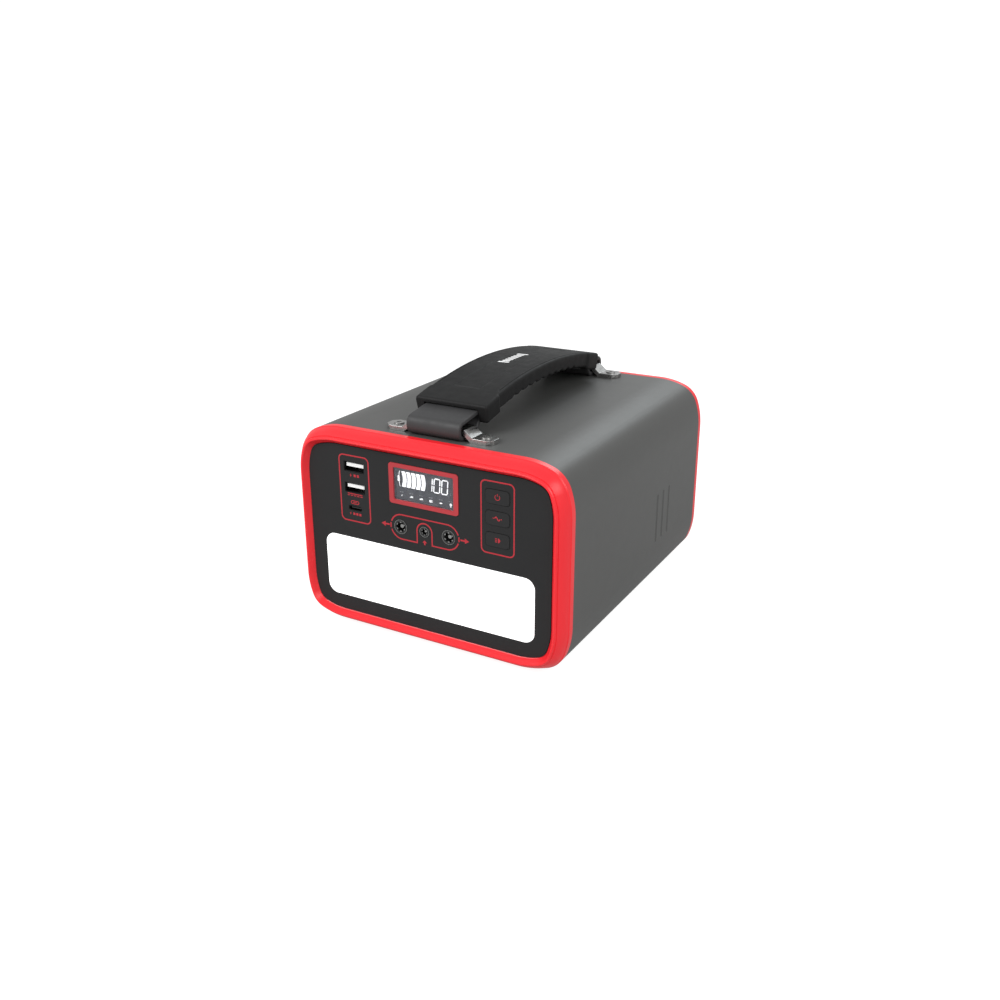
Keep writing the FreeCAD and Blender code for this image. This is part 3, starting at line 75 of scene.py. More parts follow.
class Finish:
    """One material: a Principled shader whose inputs come from textures in the object's own space."""

    def __init__(self, name, **sockets):
        self.material = bpy.data.materials.new(name)
        self.material.use_nodes = True
        self.tree = self.material.node_tree
        self.shader = self.tree.nodes["Principled BSDF"]
        self.place = self.add("ShaderNodeTexCoord").outputs["Object"]
        for socket, amount in sockets.items():
            self.shader.inputs[socket.replace("_", " ")].default_value = amount

    def add(self, kind, **settings):
        node = self.tree.nodes.new(kind)
        for key, setting in settings.items():
            setattr(node, key, setting)
        return node

    def link(self, source, target):
        self.tree.links.new(source, target)

    def drive(self, socket, source):
        self.link(source, self.shader.inputs[socket])

    def stretched(self, stretch):
        node = self.add("ShaderNodeMapping")
        node.inputs["Scale"].default_value = stretch
        self.link(self.place, node.inputs["Vector"])
        return node.outputs["Vector"]

    def noise(self, scale, detail=2.0, stretch=(1, 1, 1)):
        node = self.add("ShaderNodeTexNoise")
        node.inputs["Scale"].default_value = scale
        node.inputs["Detail"].default_value = detail
        self.link(self.stretched(stretch), node.inputs["Vector"])
        return node.outputs["Fac"]

    def cells(self, scale, stretch=(1, 1, 1)):
        node = self.add("ShaderNodeTexVoronoi")
        node.inputs["Scale"].default_value = scale
        self.link(self.stretched(stretch), node.inputs["Vector"])
        return node.outputs["Distance"]

    def span(self, value, low, high, start=0.0, end=1.0):
        """Maps value, from start to end, onto low to high."""
        node = self.add("ShaderNodeMapRange")
        for name, amount in (("From Min", start), ("From Max", end), ("To Min", low), ("To Max", high)):
            node.inputs[name].default_value = amount
        self.link(value, node.inputs["Value"])
        return node.outputs["Result"]

    def ramp(self, value, *stops):
        """Colours by value: each stop is (position, red, green, blue)."""
        node = self.add("ShaderNodeValToRGB")
        ramp = node.color_ramp
        for index, (position, *colour) in enumerate(stops):
            stop = ramp.elements[index] if index < 2 else ramp.elements.new(position)
            stop.position = position
            stop.color = (*colour, 1)
        self.link(value, node.inputs["Fac"])
        return node.outputs["Color"]

    def mix(self, factor, first, second):
        node = self.add("ShaderNodeMix", data_type="RGBA")
        self.link(factor, node.inputs[0])
        self.link(first, node.inputs[6])
        self.link(second, node.inputs[7])
        return node.outputs[2]

    def maths(self, operation, first, second):
        node = self.add("ShaderNodeMath", operation=operation)
        for socket, term in zip(node.inputs, (first, second)):
            if isinstance(term, (int, float)):
                socket.default_value = term
            else:
                self.link(term, socket)
        return node.outputs["Value"]

    def relief(self, height, depth, radius=0.0):
        """Bump of that depth in metres, over edges rounded to that radius in metres."""
        bump = self.add("ShaderNodeBump")
        bump.inputs["Distance"].default_value = depth
        bump.inputs["Strength"].default_value = 1.0
        self.link(height, bump.inputs["Height"])
        if radius:
            rounding = self.add("ShaderNodeBevel", samples=4)
            rounding.inputs["Radius"].default_value = radius
            self.link(rounding.outputs["Normal"], bump.inputs["Normal"])
        self.drive("Normal", bump.outputs["Normal"])

    def edges(self, radius):
        """0 on flat faces, rising towards 1 on edges sharper than that radius."""
        rounding = self.add("ShaderNodeBevel", samples=4)
        rounding.inputs["Radius"].default_value = radius
        geometry = self.add("ShaderNodeNewGeometry")
        product = self.add("ShaderNodeVectorMath", operation="DOT_PRODUCT")
        self.link(rounding.outputs["Normal"], product.inputs[0])
        self.link(geometry.outputs["Normal"], product.inputs[1])
        return self.span(product.outputs["Value"], 1.0, 0.0, 0.75, 1.0)


def shade(colour, factor):
    return tuple(min(1.0, channel * factor) for channel in colour)


GLOSS_SPREAD = 0.06          # how far the roughness of a moulding strays each way


def moulded(name, colour, roughness, grain=2600, depth=0.000012, variation=0.08, rounding=0.0,
            **sockets):
    """Moulded plastic or rubber: spark-eroded grain, faint flow variation, uneven gloss."""
    look = Finish(name, **sockets)
    flow = look.noise(28, 4)
    look.drive("Base Color", look.ramp(flow, (0.3, *shade(colour, 1 - variation)),
                                       (0.7, *shade(colour, 1 + variation))))
    low, high = roughness - GLOSS_SPREAD, roughness + GLOSS_SPREAD
    look.drive("Roughness", look.span(look.noise(90, 3), low, high, 0.3, 0.7))
    look.relief(look.noise(grain, 3), depth, rounding)
    return look


def metal(name, colour, roughness, brush=(1, 1, 1), grain=900, depth=0.000001, **sockets):
    """Metal with a brushed or fine grain and slow changes of tone."""
    look = Finish(name, Metallic=1.0, **sockets)
    streaks = look.noise(grain, 4, brush)
    flat = look.ramp(streaks, (0.3, *shade(colour, 0.88)), (0.7, *shade(colour, 1.1)))
    dull = look.ramp(streaks, (0.3, *shade(colour, 0.80)), (0.7, *shade(colour, 1.0)))
    look.drive("Base Color", look.mix(look.span(look.noise(70, 2), 0, 1, 0.35, 0.65), flat, dull))
    look.drive("Roughness", look.span(streaks, roughness - 0.05, roughness + 0.07, 0.3, 0.7))
    look.relief(streaks, depth)
    return look


def sleeve_finish():
    """Satin metallic coating: very fine flake under an orange-peel surface."""
    look = Finish("sleeve_aluminium", Metallic=0.3, Specular_IOR_Level=0.38)
    flake = look.noise(6500, 2)
    cloud = look.noise(9, 3)
    grey = look.ramp(flake, (0.25, 0.085, 0.086, 0.083), (0.75, 0.104, 0.105, 0.102))
    deeper = look.ramp(flake, (0.25, 0.082, 0.083, 0.080), (0.75, 0.100, 0.101, 0.098))
    look.drive("Base Color", look.mix(look.span(cloud, 0, 1, 0.35, 0.65), grey, deeper))
    look.drive("Roughness", look.span(look.noise(160, 3), 0.45, 0.47, 0.3, 0.7))
    look.relief(flake, 0.0000015)
    return look


def red_finish():
    """Satin red plastic with faint flow marks."""
    look = Finish("red_plastic", Specular_IOR_Level=0.4)
    look.drive("Base Color", look.ramp(look.noise(22, 4), (0.2, 0.81, 0.015, 0.023),
                                       (0.8, 0.86, 0.021, 0.030)))
    look.drive("Roughness", look.span(look.noise(120, 3), 0.31, 0.35, 0.2, 0.8))
    look.relief(look.noise(2200, 3), 0.000002)
    return look


def lamp_finish():
    """Lit opal diffuser: a fine prism pattern under a smooth face."""
    look = Finish("diffuser", Emission_Strength=0.85, Roughness=0.35)
    glow = look.ramp(look.noise(24, 2), (0.3, 0.97, 0.98, 1.0), (0.7, 1.0, 1.0, 1.0))
    opal = look.ramp(look.noise(60, 2), (0.3, 0.93, 0.93, 0.92), (0.7, 0.96, 0.96, 0.95))
    look.drive("Emission Color", glow)
    look.drive("Base Color", opal)
    look.relief(look.cells(900), 0.00002, 0.0003)
    return look


def screen_finish():
    """Back-lit liquid crystal: a dark grey field with a faint cell grid."""
    look = Finish("display_glass", Emission_Strength=0.55, Roughness=0.4)
    grid = look.cells(2600, (1, 0, 1))
    field = look.ramp(look.noise(55, 2), (0.3, 0.046, 0.048, 0.056), (0.7, 0.060, 0.063, 0.072))
    look.drive("Emission Color", field)
    look.drive("Base Color", field)
    look.relief(grid, 0.00001)
    return look


def lit_print(name, colour, strength):
    """Lit segments of the display."""
    look = Finish(name, Roughness=0.5)
    body = look.ramp(look.noise(700, 2), (0.3, *shade(colour, 0.9)), (0.7, *colour))
    glow = look.ramp(look.noise(300, 2), (0.3, *shade(colour, 0.92)), (0.7, *colour))
    look.drive("Base Color", body)
    look.drive("Emission Color", glow)
    look.shader.inputs["Emission Strength"].default_value = strength
    return look


def window_finish():
    """Clear hard-coated window with faint wipe marks in its gloss."""
    look = Finish("clear_window", Transmission_Weight=1.0, IOR=1.38)
    tint = look.ramp(look.noise(60, 2), (0.3, 0.93, 0.94, 0.96), (0.7, 0.98, 0.98, 1.0))
    look.drive("Base Color", tint)
    look.drive("Roughness", look.span(look.noise(90, 2), 0.0, 0.01, 0.3, 0.7))
    return look


def circuit_finish():
    """Solder mask over copper tracks, with tin pads."""
    look = Finish("circuit_board", Coat_Weight=0.2)
    tracks = look.noise(420, 0, (1, 1, 0.15))
    green = look.ramp(tracks, (0.47, 0.010, 0.115, 0.045), (0.53, 0.022, 0.190, 0.075))
    pads = look.cells(330)
    silver = look.ramp(tracks, (0.0, 0.55, 0.55, 0.53), (1.0, 0.65, 0.65, 0.62))
    look.drive("Base Color", look.mix(look.span(pads, 1, 0, 0.12, 0.16), green, silver))
    look.drive("Roughness", look.span(tracks, 0.3, 0.45, 0.45, 0.55))
    look.relief(tracks, 0.00003)
    return look


def cell_finish():
    """Shrink wrap with a fold here and there and insulating rings towards its ends."""
    look = Finish("cell_wrap", Coat_Weight=0.4, Coat_Roughness=0.15)
    bands = look.noise(50, 0, (0, 1, 0))
    look.drive("Base Color", look.ramp(bands, (0.35, 0.012, 0.10, 0.34), (0.65, 0.020, 0.15, 0.46)))
    look.drive("Roughness", look.span(look.noise(300, 3), 0.25, 0.4, 0.3, 0.7))
    look.relief(look.noise(500, 3, (1, 0.3, 1)), 0.00004)
    return look


def winding_finish():
    """Varnished copper winding: fine turns round the core."""
    look = Finish("transformer_wound", Coat_Weight=0.5)
    turns = look.noise(900, 1, (0, 0, 1))
    look.drive("Base Color", look.ramp(turns, (0.35, 0.10, 0.045, 0.012), (0.65, 0.42, 0.20, 0.06)))
    look.drive("Roughness", look.span(turns, 0.25, 0.45, 0.3, 0.7))
    look.relief(turns, 0.0001, 0.0003)
    return look


def strap_finish():
    """Coated webbing: a fine cross rib under a satin skin; its edges lighter, from rub wear and a
    painted highlight.
    """
    look = Finish("strap_rubber", Specular_IOR_Level=0.3)
    rib = look.noise(1900, 2, (0.12, 1, 1))
    body = look.ramp(look.noise(45, 3), (0.3, 0.036, 0.036, 0.037), (0.7, 0.043, 0.043, 0.044))
    # lighter colour on the edges: partly rub wear, partly a painted edge highlight
    edge_wear_and_highlight = look.ramp(rib, (0.3, 0.062, 0.062, 0.062), (0.7, 0.080, 0.080, 0.080))
    look.drive("Base Color", look.mix(look.edges(0.0008), body, edge_wear_and_highlight))
    look.drive("Roughness", look.span(look.noise(260, 3), 0.50, 0.62, 0.3, 0.7))
    look.relief(rib, 0.00001)
    return look


def grip_finish():
    """Dark elastomer with a leathery micro-texture; its edges lighter, from rub wear and a painted
    highlight.
    """
    look = Finish("grip_rubber", Specular_IOR_Level=0.15)
    pores = look.cells(2100)
    body = look.ramp(look.noise(35, 4), (0.3, 0.0120, 0.0120, 0.0122), (0.7, 0.0140, 0.0140, 0.0142))
    # lighter colour on the edges: partly rub wear, partly a painted edge highlight
    edge_wear_and_highlight = look.ramp(pores, (0.1, 0.030, 0.030, 0.030), (0.6, 0.024, 0.024, 0.024))
    look.drive("Base Color", look.mix(look.edges(0.0006), body, edge_wear_and_highlight))
    look.drive("Roughness", look.span(look.noise(200, 3), 0.52, 0.64, 0.3, 0.7))
    look.relief(look.maths("ADD", pores, look.noise(5200, 2)), 0.000008)
    return look


def ink_finish(name, colour):
    """Pad-printed ink with slightly uneven cover."""
    look = Finish(name, Specular_IOR_Level=0.3)
    look.drive("Base Color", look.ramp(look.noise(900, 3), (0.3, *shade(colour, 0.88)), (0.7, *colour)))
    look.drive("Roughness", look.span(look.noise(1500, 2), 0.40, 0.55, 0.3, 0.7))
    look.relief(look.noise(3000, 2), 0.000006)
    return look


BLACK = (0.014, 0.014, 0.015)
FINISHES = {
    "sleeve_aluminium": sleeve_finish(),
    "red_plastic": red_finish(),
    "panel_plastic": moulded("panel_plastic", (0.0185, 0.0185, 0.019), 0.55, 3200, 0.000008, 0.04,
                             Specular_IOR_Level=0.2),
    "display_red": moulded("display_red", (0.43, 0.040, 0.048), 0.34, 2600, 0.000004, 0.05,
                           Specular_IOR_Level=0.3),
    "clear_window": window_finish(),
    "display_glass": screen_finish(),
    "diffuser": lamp_finish(),
    "white_plastic": moulded("white_plastic", (0.80, 0.80, 0.78), 0.35),
    "circuit_board": circuit_finish(),
    "led": moulded("led", (0.85, 0.78, 0.40), 0.2, 1800, 0.00001, Coat_Weight=0.6),
    "port_metal": metal("port_metal", (0.42, 0.42, 0.41), 0.28, (1, 0.1, 1), 1800),
    # shell_metal: nickel-plated port shells tinted near black, a painted shade of the deep port mouths
    "shell_metal": metal("shell_metal", (0.05, 0.05, 0.052), 0.35, (1, 0.1, 1), 1800),
    "port_plastic": moulded("port_plastic", (0.86, 0.86, 0.85), 0.35, 2600, 0.000008, 0.03),
    "black_plastic": moulded("black_plastic", BLACK, 0.38, 2400, 0.000010, 0.15),
    "button_rubber": moulded("button_rubber", (0.021, 0.021, 0.0215), 0.55, 3600, 0.000008, 0.05,
                             Specular_IOR_Level=0.2),
    "bright_steel": metal("bright_steel", (0.44, 0.437, 0.43), 0.30, (1, 0.15, 1), 1400),
    "strap_rubber": strap_finish(),
    "grip_rubber": grip_finish(),
    "foot_rubber": moulded("foot_rubber", (0.018, 0.018, 0.018), 0.7, 1500, 0.00003, 0.2, 0.0004),
    "cell_wrap": cell_finish(),
    "nickel": metal("nickel", (0.62, 0.58, 0.50), 0.3, (0.1, 1, 1), 1200),
    "lead_wire": moulded("lead_wire", (0.45, 0.02, 0.02), 0.4, 900, 0.00002),
    "transformer_wound": winding_finish(),
    "heatsink_aluminium": metal("heatsink_aluminium", (0.60, 0.60, 0.61), 0.35, (1, 0.05, 1), 1100),
    "brass_contact": metal("brass_contact", (0.72, 0.50, 0.20), 0.28, (1, 0.1, 1), 1500),
}
RED_INK = ink_finish("red_ink", (0.46, 0.026, 0.038))
WHITE_INK = ink_finish("white_ink", (0.94, 0.94, 0.94))
LIT_WHITE = lit_print("lit_segments", (1.0, 1.0, 1.0), 0.75)
LIT_GREY = lit_print("faint_segments", (0.22, 0.23, 0.25), 0.35)


def finish_cad_nodes():
    for part in frame["record"]["subparts"]:
        node = frame["nodes"][part["node"]]
        for holder in node.material_slots:
            holder.material = FINISHES[part["material_slot"]].material


BRACKET_ROUNDING = 0.22


def round_edges(width, *names):
    """Rounds the sharp edges of CAD nodes, by width in millimetres, with modifiers alone."""
    for name in names:
        node = frame["nodes"][name]
        weld = node.modifiers.new("weld", "WELD")
        weld.merge_threshold = 1e-6
        rounding = node.modifiers.new("rounding", "BEVEL")
        rounding.width = width * MM
        rounding.segments = 2
        rounding.limit_method = "ANGLE"
        rounding.angle_limit = math.radians(40)
        rounding.harden_normals = True


# ---------------------------------------------------------------- shape building

def smooth_step(value, start, end):
    share = min(1.0, max(0.0, (value - start) / (end - start)))
    return share * share * (3 - 2 * share)


def arc(x, y, radius, first, last, steps=10):
    """Points along an arc about x, y, between two angles in degrees."""
    angles = [math.radians(first + (last - first) * step / steps) for step in range(steps + 1)]
    return [(x + radius * math.cos(angle), y + radius * math.sin(angle)) for angle in angles]


CORNERS = ((1, 1, 0), (-1, 1, 90), (-1, -1, 180), (1, -1, 270))    # side, level and first angle


def rounded_outline(x, y, width, height, radius):
    """Outline of a rounded rectangle about x, y."""
    across, up = width / 2 - radius, height / 2 - radius
    return [point for sign_x, sign_y, start in CORNERS
            for point in arc(x + sign_x * across, y + sign_y * up, radius, start, start + 90, 8)]


def offset_line(points, distance, closed):
    """The line moved sideways by distance, mitred at its corners."""
    moved = []
    count = len(points)
    for index, (x, y) in enumerate(points):
        before = points[(index - 1) % count] if closed or index else None
        after = points[(index + 1) % count] if closed or index + 1 < count else None
        directions = []
        for start, end in ((before, (x, y)), ((x, y), after)):
            if start is not None and end is not None:
                directions.append((Vector(end) - Vector(start)).normalized())
        heading = sum(directions, Vector((0, 0))).normalized()
        reach = distance / max(0.3, heading.dot(directions[0]))
        moved.append((x - heading.y * reach, y + heading.x * reach))
    return moved


class Solid:
    """Closed shapes of one piece, gathered in millimetres."""

    def __init__(self):
        self.mesh = bmesh.new()

    def add(self, points, faces):
        vertices = [self.mesh.verts.new(Vector(point) * MM) for point in points]
        for face in faces:
            self.mesh.faces.new([vertices[index] for index in face])

    def loft(self, rings, capped=True):
        """Quads between rings of points that match one to one."""
        size = len(rings[0])
        points = [point for ring in rings for point in ring]
        faces = [(row * size + index, row * size + (index + 1) % size,
                  (row + 1) * size + (index + 1) % size, (row + 1) * size + index)
                 for row in range(len(rings) - 1) for index in range(size)]
        if capped:
            faces.append(tuple(reversed(range(size))))
            faces.append(tuple(range((len(rings) - 1) * size, len(rings) * size)))
        self.add(points, faces)

    def plate(self, outline, place, low, high):
        """A flat plate of that outline, from low to high along the place's third axis."""
        self.loft([[place(x, y, level) for x, y in outline] for level in (low, high)])

    def strip(self, line, width, place, low, high, closed=False):
        """A flat strip of even width along a line."""
        left = offset_line(line, width / 2, closed)
        right = offset_line(line, -width / 2, closed)
        rings = []
        for (x1, y1), (x2, y2) in zip(left, right):
            rings.append([place(x1, y1, low), place(x1, y1, high),
                          place(x2, y2, high), place(x2, y2, low)])
        if closed:
            rings.append(rings[0])
        self.loft(rings, capped=not closed)

    def build(self, name, body, finish, slot=None, replaces=(), sharp=35):
        bmesh.ops.remove_doubles(self.mesh, verts=self.mesh.verts, dist=1e-7)
        bmesh.ops.recalc_face_normals(self.mesh, faces=self.mesh.faces)
        mesh = bpy.data.meshes.new(name)
        self.mesh.to_mesh(mesh)
        self.mesh.free()
        mesh.materials.append(finish.material)
        mesh.shade_smooth()
        mesh.set_sharp_from_angle(angle=math.radians(sharp))
        piece = bpy.data.objects.new(name, mesh)
        bpy.context.scene.collection.objects.link(piece)
        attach(piece, body)
        if replaces:
            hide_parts(*replaces)
        return piece


# ---------------------------------------------------------------- printing on the front panel

PRINT_PROUD = 0.04
PRINT_SUNK = 0.02
LINE_WIDTH = 0.75
OUTLINE_RADIUS = 2.7


def on_panel(x, z, depth):
    return (x, PANEL_FACE + depth, z)


def outline_column(ink, first, last, width, below, above):
    """A rounded frame round a column of parts, from below the lowest to above the highest."""
    low, high = box(first, last)
    bottom, top = low.z - below, high.z + above
    outline = rounded_outline(middle(first).x, (bottom + top) / 2, width, top - bottom, OUTLINE_RADIUS)
    ink.strip(outline, LINE_WIDTH, on_panel, -PRINT_PROUD, PRINT_SUNK, closed=True)


def usb_outline(ink):
    outline_column(ink, "usb_a_upper_shell", "usb_c_shell", width=19.2, below=6.2, above=3.5)


def button_outline(ink):
    outline_column(ink, "power_button", "lamp_button", width=19.0, below=3.1, above=3.3)


def socket_outline(ink):
    """A long rounded frame round the DC sockets, open at its ends, with an arch for the middle one."""
    centre = middle("dc_out_left_jack", "dc_out_right_jack")
    radius, reach, arch, gap = 7.0, 14.2, 4.7, 19
    top = arc(centre.x - reach, centre.z, radius, 180 - gap, 90) \
        + arc(centre.x + reach, centre.z, radius, 90, gap)
    bottom = arc(centre.x - reach, centre.z, radius, 180 + gap, 270)
    bottom.append((centre.x - arch, centre.z - radius))
    bottom += arc(centre.x, centre.z, arch, 180, 0, 16)
    bottom.append((centre.x + arch, centre.z - radius))
    bottom += arc(centre.x + reach, centre.z, radius, -90, -gap)
    for line in (top, bottom):
        ink.strip(line, LINE_WIDTH, on_panel, -PRINT_PROUD, PRINT_SUNK)


def print_shape(ink, outline):
    ink.plate(outline, on_panel, -PRINT_PROUD, PRINT_SUNK)


def bar(x, z, width, height, radius=0.2):
    return rounded_outline(x, z, width, height, radius)


def bolt(x, z, size):
    """A plain lightning bolt."""
    corners = ((0.15, 0.5), (-0.3, -0.08), (-0.02, -0.08), (-0.15, -0.5), (0.3, 0.1), (0.02, 0.1))
    return [(x + size * across, z + size * up) for across, up in corners]


def arrow(x, z, width, height, turn=0):
    """A plain arrow with its tip in the direction of turn, in degrees."""
    corners = ((-0.5, -0.16), (0.0, -0.16), (0.0, -0.5), (0.5, 0.0),
               (0.0, 0.5), (0.0, 0.16), (-0.5, 0.16))
    cos, sin = math.cos(math.radians(turn)), math.sin(math.radians(turn))
    return [(x + across * width * cos - up * height * sin,
             z + across * width * sin + up * height * cos) for across, up in corners]


def socket_marks(ink):
    """Arrows out of the two outer sockets and into the middle one."""
    stem_out, arrow_out, arrow_under = 6.3, 9.8, 6.2    # from the socket's centre
    for name, side, turn in (("dc_out_left_jack", -1, 180), ("dc_out_right_jack", 1, 0)):
        socket = middle(name)
        print_shape(ink, arrow(socket.x + side * arrow_out, socket.z, 5.2, 3.0, turn))
        print_shape(ink, bar(socket.x + side * stem_out, socket.z, 0.7, 2.8))
    inlet = middle("dc_in_jack")
    print_shape(ink, arrow(inlet.x, inlet.z - arrow_under, 2.6, 2.9, 90))


def upper_usb_marks(ink):
    """A bolt and two dashes below the upper port."""
    port = middle("usb_a_upper_shell")
    row = port.z - 4.8
    print_shape(ink, bolt(port.x - 2.3, row, 2.2))
    for x in (0.4, 2.5):
        print_shape(ink, bar(port.x + x, row, 1.4, 1.5))


def lower_usb_marks(ink):
    """The direct-current sign, a long dash over five short ones, below the lower port."""
    port = middle("usb_a_lower_shell")
    row, pitch, thickness = port.z - 4.4, 2.1, 0.5
    for step in range(-2, 3):
        print_shape(ink, bar(port.x + step * pitch, row, 1.5, thickness))
    print_shape(ink, bar(port.x, row + 1.0, 9.9, thickness))


def small_usb_marks(ink):
    """A plug's outline above the small port, and a bolt and three dashes below it."""
    port = middle("usb_c_shell")
    above, below = port.z + 3.4, port.z - 3.3
    outline = rounded_outline(port.x, above, 5.0, 1.7, 0.84)
    ink.strip(outline, 0.4, on_panel, -PRINT_PROUD, PRINT_SUNK, closed=True)
    print_shape(ink, bar(port.x, above, 2.6, 0.4))
    print_shape(ink, bolt(port.x - 3.3, below, 2.0))
    for x in (-0.9, 1.1, 3.1):
        print_shape(ink, bar(port.x + x, below, 1.4, 1.4))


def print_front_panel():
    ink = Solid()
    for draw in (usb_outline, button_outline, socket_outline, socket_marks,
                 upper_usb_marks, lower_usb_marks, small_usb_marks):
        draw(ink)
    ink.build("front_panel_print", "case", RED_INK)


# ---------------------------------------------------------------- flutes in the case's sides

FLUTE_WIDTH, FLUTE_HEIGHT, FLUTE_RADIUS = 2.8, 30.6, 1.26
FLUTE_DEPTH = 0.5
FLUTE_PITCH = 9.1
FLUTE_BEHIND = 32.7          # from the middle of the case to the middle flute
FLUTE_ABOVE = 48.0           # from the underside of the case to a flute's middle
DISH_DEPTH, DISH_SLOPE = 0.44, 1.25    # at the bottom of its slope, and how wide that slope is
DISH_STEPS = 6
DISH_LIP = 0.01              # the rim lies this far below the sleeve's face
DISH_OVERLAP = 0.02          # the dish reaches this far into the sleeve


def flute_outline(y, z, inset):
    """A flute's outline, drawn in by inset on every side."""
    radius = FLUTE_RADIUS * (1 - inset / (FLUTE_WIDTH / 2))
    return rounded_outline(y, z, FLUTE_WIDTH - 2 * inset, FLUTE_HEIGHT - 2 * inset, radius)


def line_flutes():
    """Shallow dishes in the flutes of the sleeve's sides, so that their walls slope softly."""
    low, high = box("body_sleeve")
    profile = [(-DISH_OVERLAP, FLUTE_DEPTH + DISH_OVERLAP), (-DISH_OVERLAP, DISH_LIP)]
    for share in [index / DISH_STEPS for index in range(1, DISH_STEPS + 1)]:
        profile.append((DISH_SLOPE * share, DISH_DEPTH * math.sin(math.pi / 2 * share)))
    dishes = Solid()
    for face, inwards in ((high.x, -1), (low.x, 1)):
        for step in (-1, 0, 1):
            y = (low.y + high.y) / 2 + FLUTE_BEHIND + step * FLUTE_PITCH
            dishes.loft([[(face + inwards * depth, along, up)
                          for along, up in flute_outline(y, low.z + FLUTE_ABOVE, inset)]
                         for inset, depth in profile])
    dishes.build("side_flute_dishes", "case", FINISHES["sleeve_aluminium"], "sleeve_aluminium", sharp=60)


# ---------------------------------------------------------------- DC sockets

RIM_WIDTH, RIM_PROUD = 0.18, 0.05
LEAF_COUNT = 6
LEAF_REACH = 0.15            # of the socket's radius
LEAF_SPREAD, TIP_SPREAD = 13, 7.8      # degrees each way, at the bore and at the leaf's tip
LEAF_FRONT, LEAF_BACK = 0.1, 3.5
OUTLET_BORE, INLET_BORE = 0.7125, 0.655    # of the socket's radius


def light_jack(name, bore_share):
    """A bright rim round the socket's mouth, and spring leaves spaced round its bore."""
    low, high = box(name + "_jack")
    centre = (low + high) / 2
    radius = (high.x - low.x) / 2
    bore = radius * bore_share
    tip = bore - radius * LEAF_REACH

    def place(x, z, depth):
        return (centre.x + x, low.y + depth, centre.z + z)

    contacts = Solid()
    rim = arc(0, 0, radius - RIM_WIDTH / 2, 0, 360, 48)[:-1]
    contacts.strip(rim, RIM_WIDTH, place, -RIM_PROUD, LEAF_FRONT, closed=True)
    for index in range(LEAF_COUNT):
        turn = 360 * (index + 0.5) / LEAF_COUNT
        leaf = arc(0, 0, bore, turn - LEAF_SPREAD, turn + LEAF_SPREAD, 6)
        leaf += arc(0, 0, tip, turn + TIP_SPREAD, turn - TIP_SPREAD, 4)
        contacts.plate(leaf, place, LEAF_FRONT, LEAF_BACK)
    contacts.build(name + "_contacts", "case", FINISHES["port_metal"], "port_metal")


# ---------------------------------------------------------------- marks on the push buttons

def button_mark(button, draw):
    """Prints a sign on a button: draw gets one function for its lines and one for its shapes."""
    low, high = box(button + "_button")
    centre = (low + high) / 2
    ink = Solid()

    def place(x, z, depth):
        return (centre.x + x, low.y + depth, centre.z + z)

    def strip(line, width):
        ink.strip(line, width, place, -PRINT_PROUD, PRINT_SUNK)

    def plate(outline):
        ink.plate(outline, place, -PRINT_PROUD, PRINT_SUNK)

    draw(strip, plate)
    ink.build(button + "_button_mark", button + "_key", RED_INK)


def power_sign(strip, plate):
    """A ring open at its top, with a bar through the gap."""
    width = 0.36
    strip(arc(0, -0.1, 1.4, 130, 410, 24), width)
    plate(bar(0, 1.15, width, 1.4, 0.15))


def wave_sign(strip, plate):
    """One cycle of alternating current between two dashes."""
    length, swing, steps = 3.0, 0.9, 24
    wave = [(length * (step / steps - 0.5), swing * math.sin(2 * math.pi * step / steps))
            for step in range(steps + 1)]
    strip(wave, 0.55)
    for side in (-1, 1):
        plate(bar(side * 2.35, 0, 0.7, 0.45, 0.15))


def lamp_sign(strip, plate):
    """A lamp head with its beams."""
    plate(arc(0.35, 0, 1.25, -90, 90, 14))
    for height in (-0.85, 0, 0.85):
        plate(bar(-0.75, height, 1.3, 0.42, 0.15))


# ---------------------------------------------------------------- display

def on_screen(x, z, depth):
    """Places a point from the window's centre; depth counts back from the lens's rear face."""
    centre = middle("display_lens")
    return (centre.x + x, box("display_lens")[1].y + depth, centre.z + z)


SEGMENT_FRONT = 0.03
SEGMENT_BACK = 0.08


def draw_on_screen(solid, outline):
    solid.plate(outline, on_screen, SEGMENT_FRONT, SEGMENT_BACK)


def battery_picture(lit):
    """A barrel-shaped battery with five full bars, its cap to the left."""
    height, bulge, z = 8.6, 0.8, 2.75
    first, pitch, width = -13.95, 2.95, 2.35
    rim_x, rim_bulge, cap_x = -14.85, 0.75, -15.95

    def edge(x, direction):
        return [(x + bulge * (1 - share * share), z + direction * share * height / 2)
                for share in [-1 + 2 * step / 10 for step in range(11)]]

    for index in range(5):
        left = first + pitch * index
        draw_on_screen(lit, edge(left, 1) + edge(left + width, -1))
    rim = [(rim_x - rim_bulge * math.cos(angle), z + height / 2 * math.sin(angle))
           for angle in [math.pi * (-0.5 + step / 16) for step in range(17)]]
    lit.strip(rim, 0.3, on_screen, SEGMENT_FRONT, SEGMENT_BACK)
    draw_on_screen(lit, bar(cap_x, z, 0.9, 3.0, 0.3))


DIGIT_WIDTH, DIGIT_HEIGHT, DIGIT_PITCH = 3.5, 7.5, 4.7
DIGITS_LEFT, DIGITS_FOOT = 1.2, -1.2
SEGMENT, SEGMENT_GAP, SLANT = 0.62, 0.12, 0.07
SEGMENTS_OF = {"0": "abcdef", "1": "bc"}


